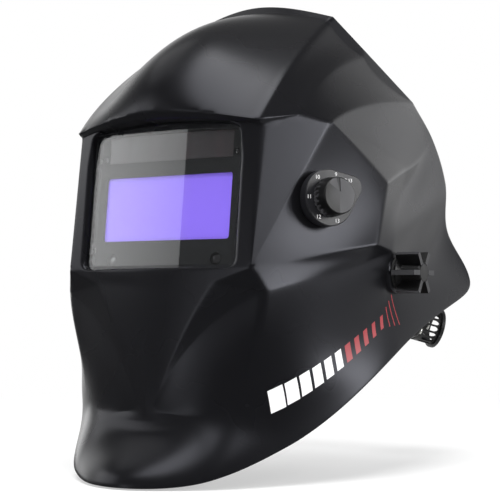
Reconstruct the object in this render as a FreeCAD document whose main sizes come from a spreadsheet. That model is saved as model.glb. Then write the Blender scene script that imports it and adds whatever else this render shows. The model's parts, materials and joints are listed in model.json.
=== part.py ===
import FreeCAD, Part
import math
import os

import Sketcher
from FreeCAD import Placement, Rotation, Vector

# Auto-darkening welding helmet: a moulded shell on an adjustable headgear.
# Frame: millimetres, origin midway between the two side pivots, X to the wearer's left,
# Y to the back of the head, Z up. The wearer faces -Y.

os.makedirs("parts", exist_ok=True)

DOC = FreeCAD.newDocument("WeldingHelmet")
SHEET = DOC.addObject("Spreadsheet::Sheet", "Sizes")

# Driving dimensions, all in millimetres or degrees.
DIMENSIONS = {
    # shell
    "shell_wall": 2.6,         # moulded wall
    "face_half": 71.0,         # half width of the window surround
    "brow_reach": 118.0,       # brow's middle, ahead of the pivots
    "brow_height": 92.5,       # brow's outer corner, above the pivots
    "crown_half": 59.0,        # half width of the crown's rear crest
    "crown_run": 117.0,        # crest's middle, behind the brow
    "crown_height": 187.0,     # top of the rear rim, above the pivots
    "rear_reach": 100.0,       # rear lobe, behind the pivots
    "side_half": 111.5,        # half width of the sides at the pods
    "pod_reach": 29.0,         # lower front corner of the pods, ahead of the pivots
    "flare_half": 118.0,       # half width across the flared rear lobes
    "chin_reach": 156.0,       # chin lip, ahead of the pivots
    "chin_drop": 130.0,        # chin lip, below the pivots
    "nose_reach": 123.0,       # keel below the window, ahead of the pivots
    "window_base": 2.0,        # lower corner of the window surround, above the pivots
    # window and filter cartridge, in the frame of the leaning lens
    "lens_lean": 6.4,          # degrees that the lens leans back
    "lens_reach": 104.6,       # cover lens centre, ahead of the pivots
    "lens_rise": 46.6,         # cover lens centre, above the pivots
    "opening_half": 58.5,      # half width of the shell's window opening
    "opening_low": 45.5,       # opening below its centre
    "opening_high": 44.2,      # opening above its centre, at the corners
    "opening_arch": 3.5,       # extra height of the arched top edge
    "opening_round": 6.0,      # corner radius of the opening
    "cover_thick": 1.5,        # outer cover lens
    "ledge": 3.0,              # width of the ledge that the cover lens rests on
    "ledge_thick": 2.0,
    "tunnel_wall": 1.8,        # wall of the tunnel round the opening
    "cartridge_wide": 110.0,
    "cartridge_high": 90.0,
    "front_thick": 5.0,        # front half of the cartridge
    "rear_thick": 6.0,         # rear half of the cartridge
    "view_margin": 5.5,        # from the cartridge's side to the viewing area
    "view_high": 42.0,
    "view_drop": 5.3,          # viewing area's centre below the cartridge's
    "glass_thick": 2.5,
    "solar_margin": 6.0,       # from the cartridge's side to the solar panel
    "solar_high": 18.0,
    "board_thick": 1.6,
    "cell_radius": 10.0,
    "cell_thick": 3.2,
    "frame_thick": 2.0,        # retaining frame behind the cartridge
    "small_knob": 5.0,         # radius of the knobs on the cartridge's back
    # shade dial on the left pod
    "dial_radius": 17.8,       # round part of the teardrop plate
    "dial_plate_thick": 6.5,
    "dial_tip": 25.4,          # teardrop's tip from the dial's axis
    "dial_tip_round": 7.5,     # radius of the tip
    "dial_bush": 3.4,          # radius of the potentiometer's threaded bush
    "dial_knob_radius": 12.4,
    "dial_knob_height": 11.0,
    "dial_shaft": 3.0,         # shaft radius
    # pivots
    "pivot_boss": 13.6,        # boss radius on the shell
    "bolt_radius": 4.0,
    "tension_radius": 14.5,    # reach of the tension knob's wings
    "tension_length": 16.5,
    "wing_thick": 3.2,
    "plate_thick": 3.0,        # headgear's side plate
    # headgear, in its own tilted frame
    "band_tilt": 19.5,         # degrees that the headband drops to the back
    "band_half": 85.0,         # headband's half width inside
    "band_front": 70.0,        # headband's inside, ahead of the pivots
    "band_arm": 66.0,          # straight side arm, behind the pivots
    "band_wall": 2.2,
    "band_height": 26.0,
    "band_base": -1.0,         # lower edge of the headband, above the pivots
    "pad_thick": 7.0,
    "strap_wall": 2.0,
    "strap_height": 18.0,
    "strap_rear": 85.0,        # depth of the rear loop behind its straight runs
    "rear_start": 60.0,        # end of the rear straps' straight runs
    "crown_rise": 92.0,        # height of the crown straps' arch over the headband
    "crown_strap_width": 18.0,
    "ratchet_angle": 38.0,     # degrees round from the back towards the left
    "ratchet_wide": 46.0,
    "ratchet_high": 32.0,
    "ratchet_deep": 15.0,
    "cage_radius": 13.0,       # perforated hand knob of the ratchet
    "cage_length": 13.0,
    # fits
    "gap": 0.3,                # running gap between faces that move past each other
    "shaft_gap": 0.06,         # radial clearance of a shaft in its bore
}


class Size:
    """A length that carries both its number and the sheet expression that gives it."""

    def __init__(self, value, text=None):
        self.value = float(value)
        self.text = text if text else repr(float(value))
        self.bound = text is not None

    def _join(self, other, sign, number):
        other = other if isinstance(other, Size) else Size(other)
        joined = Size(number(self.value, other.value), "(%s %s %s)" % (self.text, sign, other.text))
        joined.bound = self.bound or other.bound
        return joined

    def __add__(self, other):
        return self._join(other, "+", lambda a, b: a + b)

    def __sub__(self, other):
        return self._join(other, "-", lambda a, b: a - b)

    def __mul__(self, other):
        return self._join(other, "*", lambda a, b: a * b)

    def __truediv__(self, other):
        return self._join(other, "/", lambda a, b: a / b)

    def __radd__(self, other):
        return Size(other) + self

    def __rsub__(self, other):
        return Size(other) - self

    def __rmul__(self, other):
        return Size(other) * self

    def __neg__(self):
        return Size(0) - self


class Sizes:
    """The driving dimensions as attributes."""


S = Sizes()
N = Sizes()
for row, (alias, number) in enumerate(DIMENSIONS.items(), start=1):
    SHEET.set("A%d" % row, alias)
    SHEET.set("B%d" % row, str(number))
    SHEET.setAlias("B%d" % row, alias)
    setattr(S, alias, Size(number, "Sizes." + alias))
    setattr(N, alias, float(number))
DOC.recompute()

NODES = []          # the objects that become files, in order


# ---------------------------------------------------------------- building helpers
def size(number):
    """Returns number as a Size."""
    return number if isinstance(number, Size) else Size(number)


def bind(thing, prop, number):
    """Sets a property and binds it to the sheet where the size comes from there."""
    number = size(number)
    if number.bound:
        thing.setExpression(prop, number.text)


def keep(thing, label, place=None):
    """Names a finished sub-part, places it and lists it for export."""
    thing.Label = label
    if place is not None:
        thing.Placement = place
    NODES.append(thing)
    return thing


def new_body(label, place=None):
    body = DOC.addObject("PartDesign::Body", label)
    return keep(body, label, place)


def origin_plane(body, role):
    return next(f for f in body.Origin.OriginFeatures if f.Role == role)


def new_sketch(body, role="XY_Plane", height=0.0):
    sketch = body.newObject("Sketcher::SketchObject", body.Name + "Sketch")
    sketch.AttachmentSupport = [(origin_plane(body, role), "")]
    sketch.MapMode = "FlatFace"
    sketch.AttachmentOffset = Placement(Vector(0, 0, size(height).value), Rotation())
    bind(sketch, "AttachmentOffset.Base.z", height)
    return sketch


def pin(sketch, geometry, vertex, x, y):
    """Holds a sketch point at x, y from the sketch's origin."""
    for kind, number in (("DistanceX", size(x)), ("DistanceY", size(y))):
        index = sketch.addConstraint(Sketcher.Constraint(kind, -1, 1, geometry, vertex, number.value))
        bind(sketch, "Constraints[%d]" % index, number)


def circle(sketch, x, y, radius):
    x, y, radius = size(x), size(y), size(radius)
    centre = Vector(x.value, y.value, 0)
    index = sketch.addGeometry(Part.Circle(centre, Vector(0, 0, 1), radius.value))
    pin(sketch, index, 3, x, y)
    constraint = sketch.addConstraint(Sketcher.Constraint("Radius", index, radius.value))
    bind(sketch, "Constraints[%d]" % constraint, radius)


def polygon(sketch, corners):
    """Closed outline of straight lines through corners of (x, y)."""
    corners = [(size(x), size(y)) for x, y in corners]
    first = sketch.GeometryCount
    count = len(corners)
    points = [Vector(x.value, y.value, 0) for x, y in corners]
    for i in range(count):
        sketch.addGeometry(Part.LineSegment(points[i], points[(i + 1) % count]))
    for i in range(count):
        link = Sketcher.Constraint("Coincident", first + i, 2, first + (i + 1) % count, 1)
        sketch.addConstraint(link)
    for i, (x, y) in enumerate(corners):
        pin(sketch, first + i, 1, x, y)


def rectangle(sketch, x, y, wide, high):
    x, y, half, rise = size(x), size(y), size(wide) / 2, size(high) / 2
    polygon(sketch, [(x - half, y - rise), (x + half, y - rise), (x + half, y + rise), (x - half, y + rise)])


def arched_outline(sketch, half, low, high, arch):
    """Rectangle whose top edge is an arc that rises by arch in the middle."""
    half, low, high, arch = size(half), size(low), size(high), size(arch)
    radius = (half * half + arch * arch) / (arch * 2)
    a, b = Vector(half.value, high.value, 0), Vector(-half.value, high.value, 0)
    c, d = Vector(-half.value, -low.value, 0), Vector(half.value, -low.value, 0)
    top = Vector(0, high.value + arch.value, 0)
    arc = sketch.addGeometry(Part.Arc(a, top, b))
    left = sketch.addGeometry(Part.LineSegment(b, c))
    base = sketch.addGeometry(Part.LineSegment(c, d))
    right = sketch.addGeometry(Part.LineSegment(d, a))
    joints = (((arc, 2), (left, 1)), ((left, 2), (base, 1)), ((base, 2), (right, 1)), ((right, 2), (arc, 1)))
    for one, two in joints:
        sketch.addConstraint(Sketcher.Constraint("Coincident", one[0], one[1], two[0], two[1]))
    pin(sketch, right, 2, half, high)
    pin(sketch, left, 1, -half, high)
    pin(sketch, base, 1, -half, -low)
    pin(sketch, base, 2, half, -low)
    index = sketch.addConstraint(Sketcher.Constraint("Radius", arc, radius.value))
    bind(sketch, "Constraints[%d]" % index, radius)


def pad(body, sketch, length, down=False, symmetric=False):
    feature = body.newObject("PartDesign::Pad", body.Name + "Pad")
    feature.Profile = sketch
    feature.Length = size(length).value
    bind(feature, "Length", length)
    feature.Reversed = down
    if symmetric:
        feature.SideType = "Symmetric"
    return feature


def pocket(body, sketch, length=None, up=False):
    """Cuts a sketch: downwards unless up is set, right through where no length is given."""
    feature = body.newObject("PartDesign::Pocket", body.Name + "Pocket")
    feature.Profile = sketch
    if length is None:
        feature.Type = "ThroughAll"
    else:
        feature.Length = size(length).value
        bind(feature, "Length", length)
    feature.Reversed = up
    return feature


def turned(body, corners):
    """Revolves an outline of (radius, height) corners about the body's Z axis."""
    sketch = new_sketch(body, "XZ_Plane")
    polygon(sketch, corners)
    feature = body.newObject("PartDesign::Revolution", body.Name + "Turn")
    feature.Profile = sketch
    feature.ReferenceAxis = (sketch, ["V_Axis"])
    return feature


def polar(body, feature, sketch, count):
    pattern = body.newObject("PartDesign::PolarPattern", body.Name + "Pattern")
    pattern.Originals = [feature]
    pattern.Axis = (sketch, ["N_Axis"])
    pattern.Angle = 360
    pattern.Occurrences = count
    body.Tip = pattern
    return pattern


def rounded(body, radius, wanted):
    """Fillets the edges that wanted(edge) picks from the body's tip."""
    DOC.recompute()
    base = body.Tip
    names = ["Edge%d" % (i + 1) for i, edge in enumerate(base.Shape.Edges) if wanted(edge)]
    feature = body.newObject("PartDesign::Fillet", body.Name + "Fillet")
    feature.Base = (base, names)
    feature.Radius = size(radius).value
    bind(feature, "Radius", radius)
    return feature


def upright(edge):
    """True for a straight edge along the body's own Z axis."""
    ends = [v.Point for v in edge.Vertexes]
    if len(ends) != 2 or edge.Curve.TypeId != "Part::GeomLine":
        return False
    run = ends[1] - ends[0]
    return abs(run.z) > 0.99 * run.Length


def block(label, low, high):
    """Box between two corners."""
    box = DOC.addObject("Part::Box", label)
    low, high = [size(n) for n in low], [size(n) for n in high]
    box.Placement.Base = Vector(*[n.value for n in low])
    for axis, side, a, b in zip("xyz", ("Length", "Width", "Height"), low, high):
        setattr(box, side, b.value - a.value)
        bind(box, "Placement.Base." + axis, a)
        bind(box, side, b - a)
    return box


def rod(label, radius, start, end, x=0.0, y=0.0):
    """Cylinder along Z from start to end."""
    cylinder = DOC.addObject("Part::Cylinder", label)
    x, y, start, end, radius = size(x), size(y), size(start), size(end), size(radius)
    cylinder.Radius = radius.value
    cylinder.Height = end.value - start.value
    cylinder.Placement.Base = Vector(x.value, y.value, start.value)
    bind(cylinder, "Radius", radius)
    bind(cylinder, "Height", end - start)
    bind(cylinder, "Placement.Base.x", x)
    bind(cylinder, "Placement.Base.y", y)
    bind(cylinder, "Placement.Base.z", start)
    return cylinder


def joined(label, shapes):
    fuse = DOC.addObject("Part::MultiFuse", label)
    fuse.Shapes = shapes
    return fuse


def carved(label, base, *tools):
    cut = DOC.addObject("Part::Cut", label)
    cut.Base = base
    cut.Tool = tools[0] if len(tools) == 1 else joined(label + "Tools", list(tools))
    return cut


def shared(label, base, tool):
    common = DOC.addObject("Part::Common", label)
    common.Base = base
    common.Tool = tool
    return common


def group(label, shapes):
    compound = DOC.addObject("Part::Compound", label)
    compound.Links = shapes
    return compound


# ---------------------------------------------------------------- frames
LENS = Placement(Vector(0, -N.lens_reach, N.lens_rise), Rotation(Vector(1, 0, 0), 90 - N.lens_lean))
HEADGEAR = Placement(Vector(0, 0, 0), Rotation(Vector(1, 0, 0), -N.band_tilt))
SIDES = {
    "left": Placement(Vector(0, 0, 0), Rotation(Vector(0, 1, 0), 90)),
    "right": Placement(Vector(0, 0, 0), Rotation(Vector(0, 1, 0), -90)),
}


# ---------------------------------------------------------------- shell surface
# The shell is a net of bicubic patches on its left half, mirrored. Corner points sit at the
# creases of the moulding, and each patch follows the curves between them.
def shell_corners():
    face, brow, height = N.face_half, N.brow_reach, N.brow_height
    crown, back, top = N.crown_half, N.crown_run - N.brow_reach, N.crown_height
    side, flare, rear, pod = N.side_half, N.flare_half, N.rear_reach, N.pod_reach
    chin, drop, nose, base = N.chin_reach, N.chin_drop, N.nose_reach, N.window_base
    corners = {
        "brow_mid": (0, -brow, height + 8),
        "brow_side": (face, 14 - brow, height),
        "soffit_mid": (0, 4 - brow, height + 3.8),
        "soffit_side": (face, 17.5 - brow, height - 2.5),
        "temple_low": (face + 13, 42 - brow, height + 5),
        "temple": (face + 24, 61.5 - brow, height + 2),
        "surround_low": (face, 6 - brow, base),
        "keel_side": (face - 25.5, 2.7 - brow, base - 9.7),
        "cheek": (face + 6, 12.5 - brow, base - 15),
        "keel_top": (0, -1 - brow, base - 12),
        "surround_mid": (0, -0.6 - brow, base - 3),
        "keel_tip": (6, -nose, -83),
        "keel_end": (0, -nose - 0.8, -84.5),
        "crest_mid": (0, back, top - 5),
        "crest_side": (crown, back + 2, top - 16),
        "crest_low": (crown + 12, back + 30, top - 37),
        "ear": (crown + 23, back + 84, top - 63.5),
        "rim_mid": (0, back + 4, top),
        "rim_side": (crown + 1, back + 8, top - 12),
        "rim_low": (crown + 11.5, back + 35, top - 33),
        "pod_top": (side - 1.5, 20 - pod, 58),
        "pod_back": (side - 5.5, 56 - pod, 70),
        "pod_low": (side + 1.5, -pod, 17),
        "pod_heel": (side, 22 - pod, 13.5),
        "rear_high": (side - 20.5, rear - 5, 99),
        "rear_mid": (side - 11.5, rear - 2, 67),
        "rear_low": (side - 5.5, rear - 12, 32),
        "lobe": (flare, rear, -4),
        "rim_jaw": (flare - 3, 26 - pod, -50),
        "rim_cheek": (flare - 37, 66 - chin, 22 - drop),
        "rim_front": (48, 24 - chin, 3 - drop),
        "chin": (0, -chin, -drop),
        "waist_mid": (0, -nose - 1.5, -93),
        "waist_front": (30, 2.5 - nose, -91),
        "waist_cheek": (65, 20 - nose, -80),
        "waist_side": (side - 3.5, 18 - pod, -25),
    }
    return {name: Vector(*place) for name, place in corners.items()}


PATCHES = (          # corners anticlockwise seen from outside; three corners meet at the last
    ("brow_mid", "brow_side", "crest_side", "crest_mid"),
    ("brow_side", "temple_low", "crest_low", "crest_side"),
    ("temple_low", "temple", "ear", "crest_low"),
    ("crest_mid", "crest_side", "rim_side", "rim_mid"),
    ("crest_side", "crest_low", "rim_low", "rim_side"),
    ("crest_low", "ear", "rim_low"),
    ("soffit_mid", "soffit_side", "brow_side", "brow_mid"),
    ("brow_side", "soffit_side", "temple_low"),
    ("temple_low", "soffit_side", "surround_low"),
    ("temple", "temple_low", "surround_low"),
    ("surround_mid", "surround_low", "soffit_side", "soffit_mid"),
    ("keel_top", "keel_side", "surround_low", "surround_mid"),
    ("pod_top", "pod_back", "temple"),
    ("pod_low", "pod_heel", "pod_back", "pod_top"),
    ("surround_low", "pod_low", "pod_top", "temple"),
    ("cheek", "pod_heel", "pod_low", "surround_low"),
    ("keel_side", "cheek", "surround_low"),
    ("cheek", "keel_side", "keel_tip"),
    ("keel_end", "keel_tip", "keel_side", "keel_top"),
    ("waist_mid", "waist_front", "keel_tip", "keel_end"),
    ("waist_front", "waist_cheek", "cheek", "keel_tip"),
    ("waist_cheek", "waist_side", "pod_heel", "cheek"),
    ("waist_side", "rear_low", "rear_mid", "pod_heel"),
    ("chin", "rim_front", "waist_front", "waist_mid"),
    ("rim_front", "rim_cheek", "waist_cheek", "waist_front"),
    ("rim_cheek", "rim_jaw", "waist_side", "waist_cheek"),
    ("rim_jaw", "lobe", "rear_low", "waist_side"),
    ("temple", "pod_back", "rear_high", "ear"),
    ("pod_heel", "rear_mid", "rear_high", "pod_back"),
)

RIM = ("rim_mid", "rim_side", "rim_low", "ear", "rear_high", "rear_mid", "rear_low",
       "lobe", "rim_jaw", "rim_cheek", "rim_front", "chin")

# Smooth runs: the corners that a curve passes through, then its direction at each end, with
# None where the end is free.
FLOWS = (
    (("brow_mid", "brow_side"), (1, 0, 0), None),
    (("soffit_mid", "soffit_side"), (1, 0, 0), None),
    (("crest_mid", "crest_side"), (1, 0, 0), None),
    (("rim_mid", "rim_side"), (1, 0, 0), None),
    (("keel_top", "keel_side"), (1, 0, 0), None),
    (("brow_mid", "crest_mid"), (0, 0.18, 1), (0, 1, 0.22)),
    (("surround_mid", "surround_low"), (1, 0, 0), (0.97, 0.12, 0)),
    (("keel_end", "waist_mid", "chin"), (0, 0, -1), (0, -0.1, -1)),
    (("keel_tip", "waist_front", "rim_front"), (0.6, 0, -0.6), (0, -0.2, -1)),
    (("cheek", "waist_cheek", "rim_cheek"), (-0.05, 0, -1), (0.1, -0.1, -1)),
    (("pod_heel", "waist_side", "rim_jaw"), (0, -0.1, -1), (0.15, -0.1, -1)),
    (("pod_back", "pod_heel"), (0.05, -0.6, -1), (0.05, -0.5, -1)),
    (("waist_mid", "waist_front", "waist_cheek", "waist_side", "rear_low"), (1, 0, 0), (-0.05, 1, 0.75)),
    (("chin", "rim_front", "rim_cheek", "rim_jaw"), (1, 0, 0), (0.04, 0.9, 0.45)),
    (("ear", "rear_high", "rear_mid", "rear_low", "lobe"), (0.3, 0.6, -1), (0.06, 0.25, -1)),
    (("pod_back", "rear_high"), (-0.15, 1, 0.2), None),
    (("pod_heel", "rear_mid"), (-0.1, 1, 0.25), None),
)
END_PULL = {("brow_mid", "crest_mid"): 0.36}    # handle length over chord, where not a third

# Bowed creases: how far the curve's two handles stand off the straight line.
BOWS = {
    ("brow_side", "crest_side"): ((4, -13.5, 0), (4, -13.5, 0)),
    ("temple_low", "crest_low"): ((1.5, -19, 2.5), (0.5, -12.5, 6)),
    ("temple", "ear"): ((1.5, -19.5, 3), (0.5, -5.5, 7)),
    ("crest_side", "crest_low"): ((0, -2, -3.5), (0, -2, -3.5)),
    ("crest_low", "ear"): ((-0.5, -13.5, -2), (-0.5, -13.5, -2)),
    ("temple", "pod_back"): ((-2, 6, 3.5), (-2, 6, 3.5)),
    ("temple", "pod_top"): ((-0.5, 5, -0.5), (-0.5, 5, -0.5)),
    ("keel_side", "keel_tip"): ((-0.5, 0, 7.5), (-3, -1, 3)),
    ("cheek", "keel_tip"): ((-8.5, -1.5, 13), (-8.5, -4, 7)),
    ("cheek", "pod_heel"): ((2.5, -6.5, -2), (3, -8, -2.5)),
    ("rim_jaw", "lobe"): ((1.5, 29.5, 17), (1.5, 36.5, 1.5)),
}


def unit(vector):
    return Vector(vector).normalize()


def flow_curves(corners, names, start, end):
    """Smooth chain of cubic curves through named corners, as lists of four poles."""
    points = [corners[name] for name in names]
    tangents = [unit(Vector(*start)) if start else None]
    for before, here, after in zip(points, points[1:], points[2:]):
        near, far = here - before, after - here
        mixed = unit(near) * far.Length + unit(far) * near.Length
        tangents.append(unit(mixed))
    tangents.append(unit(Vector(*end)) if end else None)
    curves = {}
    for i in range(len(points) - 1):
        a, b = points[i], points[i + 1]
        pull = (b - a).Length * END_PULL.get((names[i], names[i + 1]), 1 / 3)
        first = a + tangents[i] * pull if tangents[i] else None
        second = b - tangents[i + 1] * pull if tangents[i + 1] else None
        first = first if first is not None else a + (second - a) / 2
        second = second if second is not None else b + (first - b) / 2
        curves[names[i], names[i + 1]] = [a, first, second, b]
    return curves


def shell_curves(corners):
    """Every patch edge, keyed by its two corners."""
    curves = {}
    for names, start, end in FLOWS:
        curves.update(flow_curves(corners, names, start, end))
    for patch in PATCHES:
        for one, two in zip(patch, patch[1:] + patch[:1]):
            if (one, two) in curves or (two, one) in curves:
                continue
            pair = (one, two) if (one, two) in BOWS else (two, one)
            bows = [Vector(*bow) for bow in BOWS.get(pair, ((0, 0, 0), (0, 0, 0)))]
            a, b = corners[pair[0]], corners[pair[1]]
            curves[pair] = [a, a + (b - a) / 3 + bows[0], b - (b - a) / 3 + bows[1], b]
    return curves


def curve_between(curves, one, two):
    return list(curves[one, two]) if (one, two) in curves else list(reversed(curves[two, one]))


def patch_poles(curves, patch):
    """Grid of 4 x 4 poles; a patch of three corners closes to a point at the last."""
    a, b, c = patch[:3]
    low = curve_between(curves, a, b)
    right = curve_between(curves, b, c)
    if len(patch) == 4:
        left, high = curve_between(curves, a, patch[3]), curve_between(curves, patch[3], c)
    else:
        left, high = curve_between(curves, a, c), [right[3]] * 4
    poles = [[None] * 4 for _ in range(4)]
    for i in range(4):
        poles[i][0], poles[i][3] = low[i], high[i]
        poles[0][i], poles[3][i] = left[i], right[i]
    for i in (1, 2):
        for j in (1, 2):
            u, v = i // 2 * 3, j // 2 * 3
            if len(patch) == 4:
                poles[i][j] = poles[i][v] + poles[u][j] - poles[u][v]
            else:
                across = left[j] * (1 - i / 3) + right[j] * (i / 3)
                swell = low[i] - (low[0] * (1 - i / 3) + low[3] * (i / 3))
                poles[i][j] = across + swell * (1 - j / 3)
    return poles


def patch_face(poles):
    surface = Part.BezierSurface()
    surface.increase(3, 3)
    for i, line in enumerate(poles, start=1):
        for j, pole in enumerate(line, start=1):
            surface.setPole(i, j, pole)
    return surface.toShape()


def inward_steps(corners, curves):
    """How far each corner moves to lie one wall inside every patch that meets there."""
    normals = {name: [] for name in corners}
    for patch in PATCHES:
        count = len(patch)
        for i, name in enumerate(patch):
            ahead = curve_between(curves, name, patch[(i + 1) % count])[1] - corners[name]
            behind = curve_between(curves, name, patch[i - 1])[1] - corners[name]
            normal = unit(ahead.cross(behind))
            normals[name].append(normal)
            if abs(corners[name].x) < 1e-6:
                normals[name].append(Vector(-normal.x, normal.y, normal.z))
    steps = {}
    for name, around in normals.items():
        grid = FreeCAD.Matrix()
        soft = 0.02
        rows = [[sum(n[r] * n[c] for n in around) + (soft if r == c else 0) for c in range(3)] for r in range(3)]
        grid.A = [*rows[0], 0, *rows[1], 0, *rows[2], 0, 0, 0, 0, 1]
        total = Vector(0, 0, 0)
        for normal in around:
            total = total + normal
        steps[name] = grid.inverse().multVec(total * -N.shell_wall)
    return steps


def inner_curves(curves, steps):
    """The same curves, one wall further in."""
    inner = {}
    for (one, two), poles in curves.items():
        shares = (0, 1 / 3, 2 / 3, 1)
        inner[one, two] = [p + steps[one] * (1 - w) + steps[two] * w for p, w in zip(poles, shares)]
    return inner


def pole_curve(poles):
    curve = Part.BezierCurve()
    curve.setPoles(poles)
    return curve.toShape()


def shell_skin():
    """Closed solid of the moulding's wall, before its openings are cut."""
    corners = shell_corners()
    outer = shell_curves(corners)
    inner = inner_curves(outer, inward_steps(corners, outer))
    faces = [patch_face(patch_poles(curves, patch)) for curves in (outer, inner) for patch in PATCHES]
    for one, two in zip(RIM, RIM[1:]):
        sides = [pole_curve(curve_between(curves, one, two)) for curves in (outer, inner)]
        faces.append(Part.makeRuledSurface(*sides))
    faces += [face.mirror(Vector(0, 0, 0), Vector(1, 0, 0)) for face in faces]
    sewn = Part.makeCompound(faces)
    sewn.sewShape()
    solid = Part.makeSolid(sewn.Shells[0])
    if solid.Volume < 0:
        solid.reverse()
    return solid


def arched_prism(half, low, high, arch, rounding, start, end):
    """Window-shaped prism along the lens frame's Z."""
    a, b = Vector(half, high, start), Vector(-half, high, start)
    c, d = Vector(-half, -low, start), Vector(half, -low, start)
    top = Part.Arc(a, Vector(0, high + arch, start), b).toShape()
    lines = [Part.LineSegment(p, q).toShape() for p, q in ((b, c), (c, d), (d, a))]
    prism = Part.Face(Part.Wire([top] + lines)).extrude(Vector(0, 0, end - start))
    corners = [edge for edge in prism.Edges if upright(edge)]
    return prism.makeFillet(rounding, corners)


def window_prism(grow, start, end):
    return arched_prism(N.opening_half + grow, N.opening_low + grow, N.opening_high + grow,
                        N.opening_arch, max(N.opening_round + grow, 1), start, end)


SEAT = -N.cover_thick                                  # back of the cover lens
LEDGE_BACK = SEAT - N.ledge_thick                      # back of the ledge behind it
FRONT_FACE = LEDGE_BACK - N.gap                        # front of the cartridge
SPLIT = FRONT_FACE - N.front_thick                     # where the cartridge's halves meet
BACK_FACE = SPLIT - N.rear_thick                       # back of the cartridge
SCREW_X = max(N.opening_half + 6.5, N.cartridge_wide / 2 + 10)    # retaining frame's screws, beside
SCREW_Y = 30.0                                         # the tunnel and the cartridge alike
POST_TOP = -0.5                                        # screw posts end inside the surround's skin
BOLT_HOLE = N.bolt_radius + N.shaft_gap
BOSS_OUT = N.side_half + 1.2                           # outer face of the pivot boss
BOSS_IN = BOSS_OUT - 6.0


def dial_frame():
    """Frame on the pod's face: Z outwards, Y up, X to the back."""
    corners = shell_corners()
    low, heel = corners["surround_low"], corners["pod_low"]
    normal = unit((heel - low).cross(corners["temple"] - low))
    centre = low + (heel - low) * 0.295 + (corners["temple"] - low) * 0.42
    across = unit(Vector(-normal.y, normal.x, 0))
    return Placement(centre + normal * 1.6, Rotation(across, normal.cross(across), normal, "ZXY"))


DIAL = dial_frame()
TIP_TURN = 23.0                                        # degrees that the teardrop's tip points upwards


def teardrop(grow, start, end):
    """Teardrop prism of the dial plate: a disc with a rounded tip to the upper back."""
    tip_radius = N.dial_tip_round
    turn = Rotation(Vector(0, 0, 1), TIP_TURN)
    tip = turn.multVec(Vector(N.dial_tip - tip_radius, 0, 0))
    lean = math.degrees(math.acos((N.dial_radius - tip_radius) / tip.Length))
    edge = [Rotation(Vector(0, 0, 1), TIP_TURN + s * lean).multVec(Vector(1, 0, 0)) for s in (1, -1)]
    big, small = N.dial_radius + grow, tip_radius + grow
    up = Vector(0, 0, start)
    round_far = Part.Arc(edge[0] * big + up, turn.multVec(Vector(-big, 0, 0)) + up, edge[1] * big + up)
    low_side = Part.LineSegment(edge[1] * big + up, tip + edge[1] * small + up)
    round_tip = Part.Arc(tip + edge[1] * small + up, tip + turn.multVec(Vector(small, 0, 0)) + up,
                         tip + edge[0] * small + up)
    high_side = Part.LineSegment(tip + edge[0] * small + up, edge[0] * big + up)
    wire = Part.Wire([line.toShape() for line in (round_far, low_side, round_tip, high_side)])
    return Part.Face(wire).extrude(Vector(0, 0, end - start))


def placed(shape, place):
    moved = shape.copy()
    moved.Placement = place.multiply(moved.Placement)
    return moved


def tube(radius, start, end, place, x=0.0, y=0.0):
    return placed(Part.makeCylinder(radius, end - start, Vector(x, y, start)), place)


def build_shell():
    solid = shell_skin()
    corners = shell_corners()
    curves = shell_curves(corners)
    # tunnel round the window, from the surround's skin back to the ledge for the cover lens
    depth = LEDGE_BACK
    tunnel = window_prism(N.tunnel_wall, depth, 30).cut(window_prism(0, SEAT, 31))
    tunnel = placed(tunnel.cut(window_prism(-N.ledge, depth - 1, SEAT + 1)), LENS)
    outward = LENS.Rotation.multVec(Vector(0, 0, 60))
    for patch in [p for p in PATCHES if "surround_mid" in p or "soffit_mid" in p]:
        front = patch_face(patch_poles(curves, patch))
        for face in (front, front.mirror(Vector(0, 0, 0), Vector(1, 0, 0))):
            tunnel = tunnel.cut(face.extrude(outward))
    solid = solid.cut(placed(window_prism(0, SEAT, 40), LENS)).fuse(tunnel)
    solid = solid.cut(placed(window_prism(-N.ledge, -40, 1), LENS))
    # screw posts for the retaining frame
    for x in (-SCREW_X, SCREW_X):
        for y in (-SCREW_Y, SCREW_Y):
            reach = N.opening_half + N.tunnel_wall
            post = Part.makeCylinder(3.4, POST_TOP - BACK_FACE, Vector(x, y, BACK_FACE))
            low = reach - 1
            rib = Part.makeBox(abs(x) - low, 2, POST_TOP - BACK_FACE, Vector(low if x > 0 else x, y - 1, BACK_FACE))
            solid = solid.fuse(placed(post.fuse(rib), LENS))
            solid = solid.cut(tube(1.3, BACK_FACE - 1, LEDGE_BACK - 2, LENS, x, y))
    # pivot bosses and bores
    for place in SIDES.values():
        solid = solid.fuse(tube(N.pivot_boss, BOSS_IN, BOSS_OUT, place))
        solid = solid.cut(tube(BOLT_HOLE, BOSS_IN - 5, BOSS_OUT + 5, place))
        solid = solid.cut(tube(N.pivot_boss - 0.8, BOSS_IN - 15, BOSS_IN, place))
    # flat seat for the dial on the left pod
    solid = solid.fuse(placed(teardrop(-0.6, -5.0, 0.0), DIAL))
    solid = solid.cut(tube(9.0, -12.0, -3.2, DIAL))
    return solid.cut(tube(N.dial_bush + 0.2, -6.0, 2.0, DIAL)).removeSplitter()


shell = DOC.addObject("Part::Feature", "shell")
shell.Shape = build_shell()
keep(shell, "shell")

# ---------------------------------------------------------------- cover lens and cartridge
body = new_body("cover_lens", LENS)
sketch = new_sketch(body, "XY_Plane", -S.cover_thick)
arched_outline(sketch, S.opening_half - S.gap, S.opening_low - S.gap, S.opening_high - S.gap, S.opening_arch)
pad(body, sketch, S.cover_thick)
rounded(body, S.opening_round - S.gap, upright)

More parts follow.
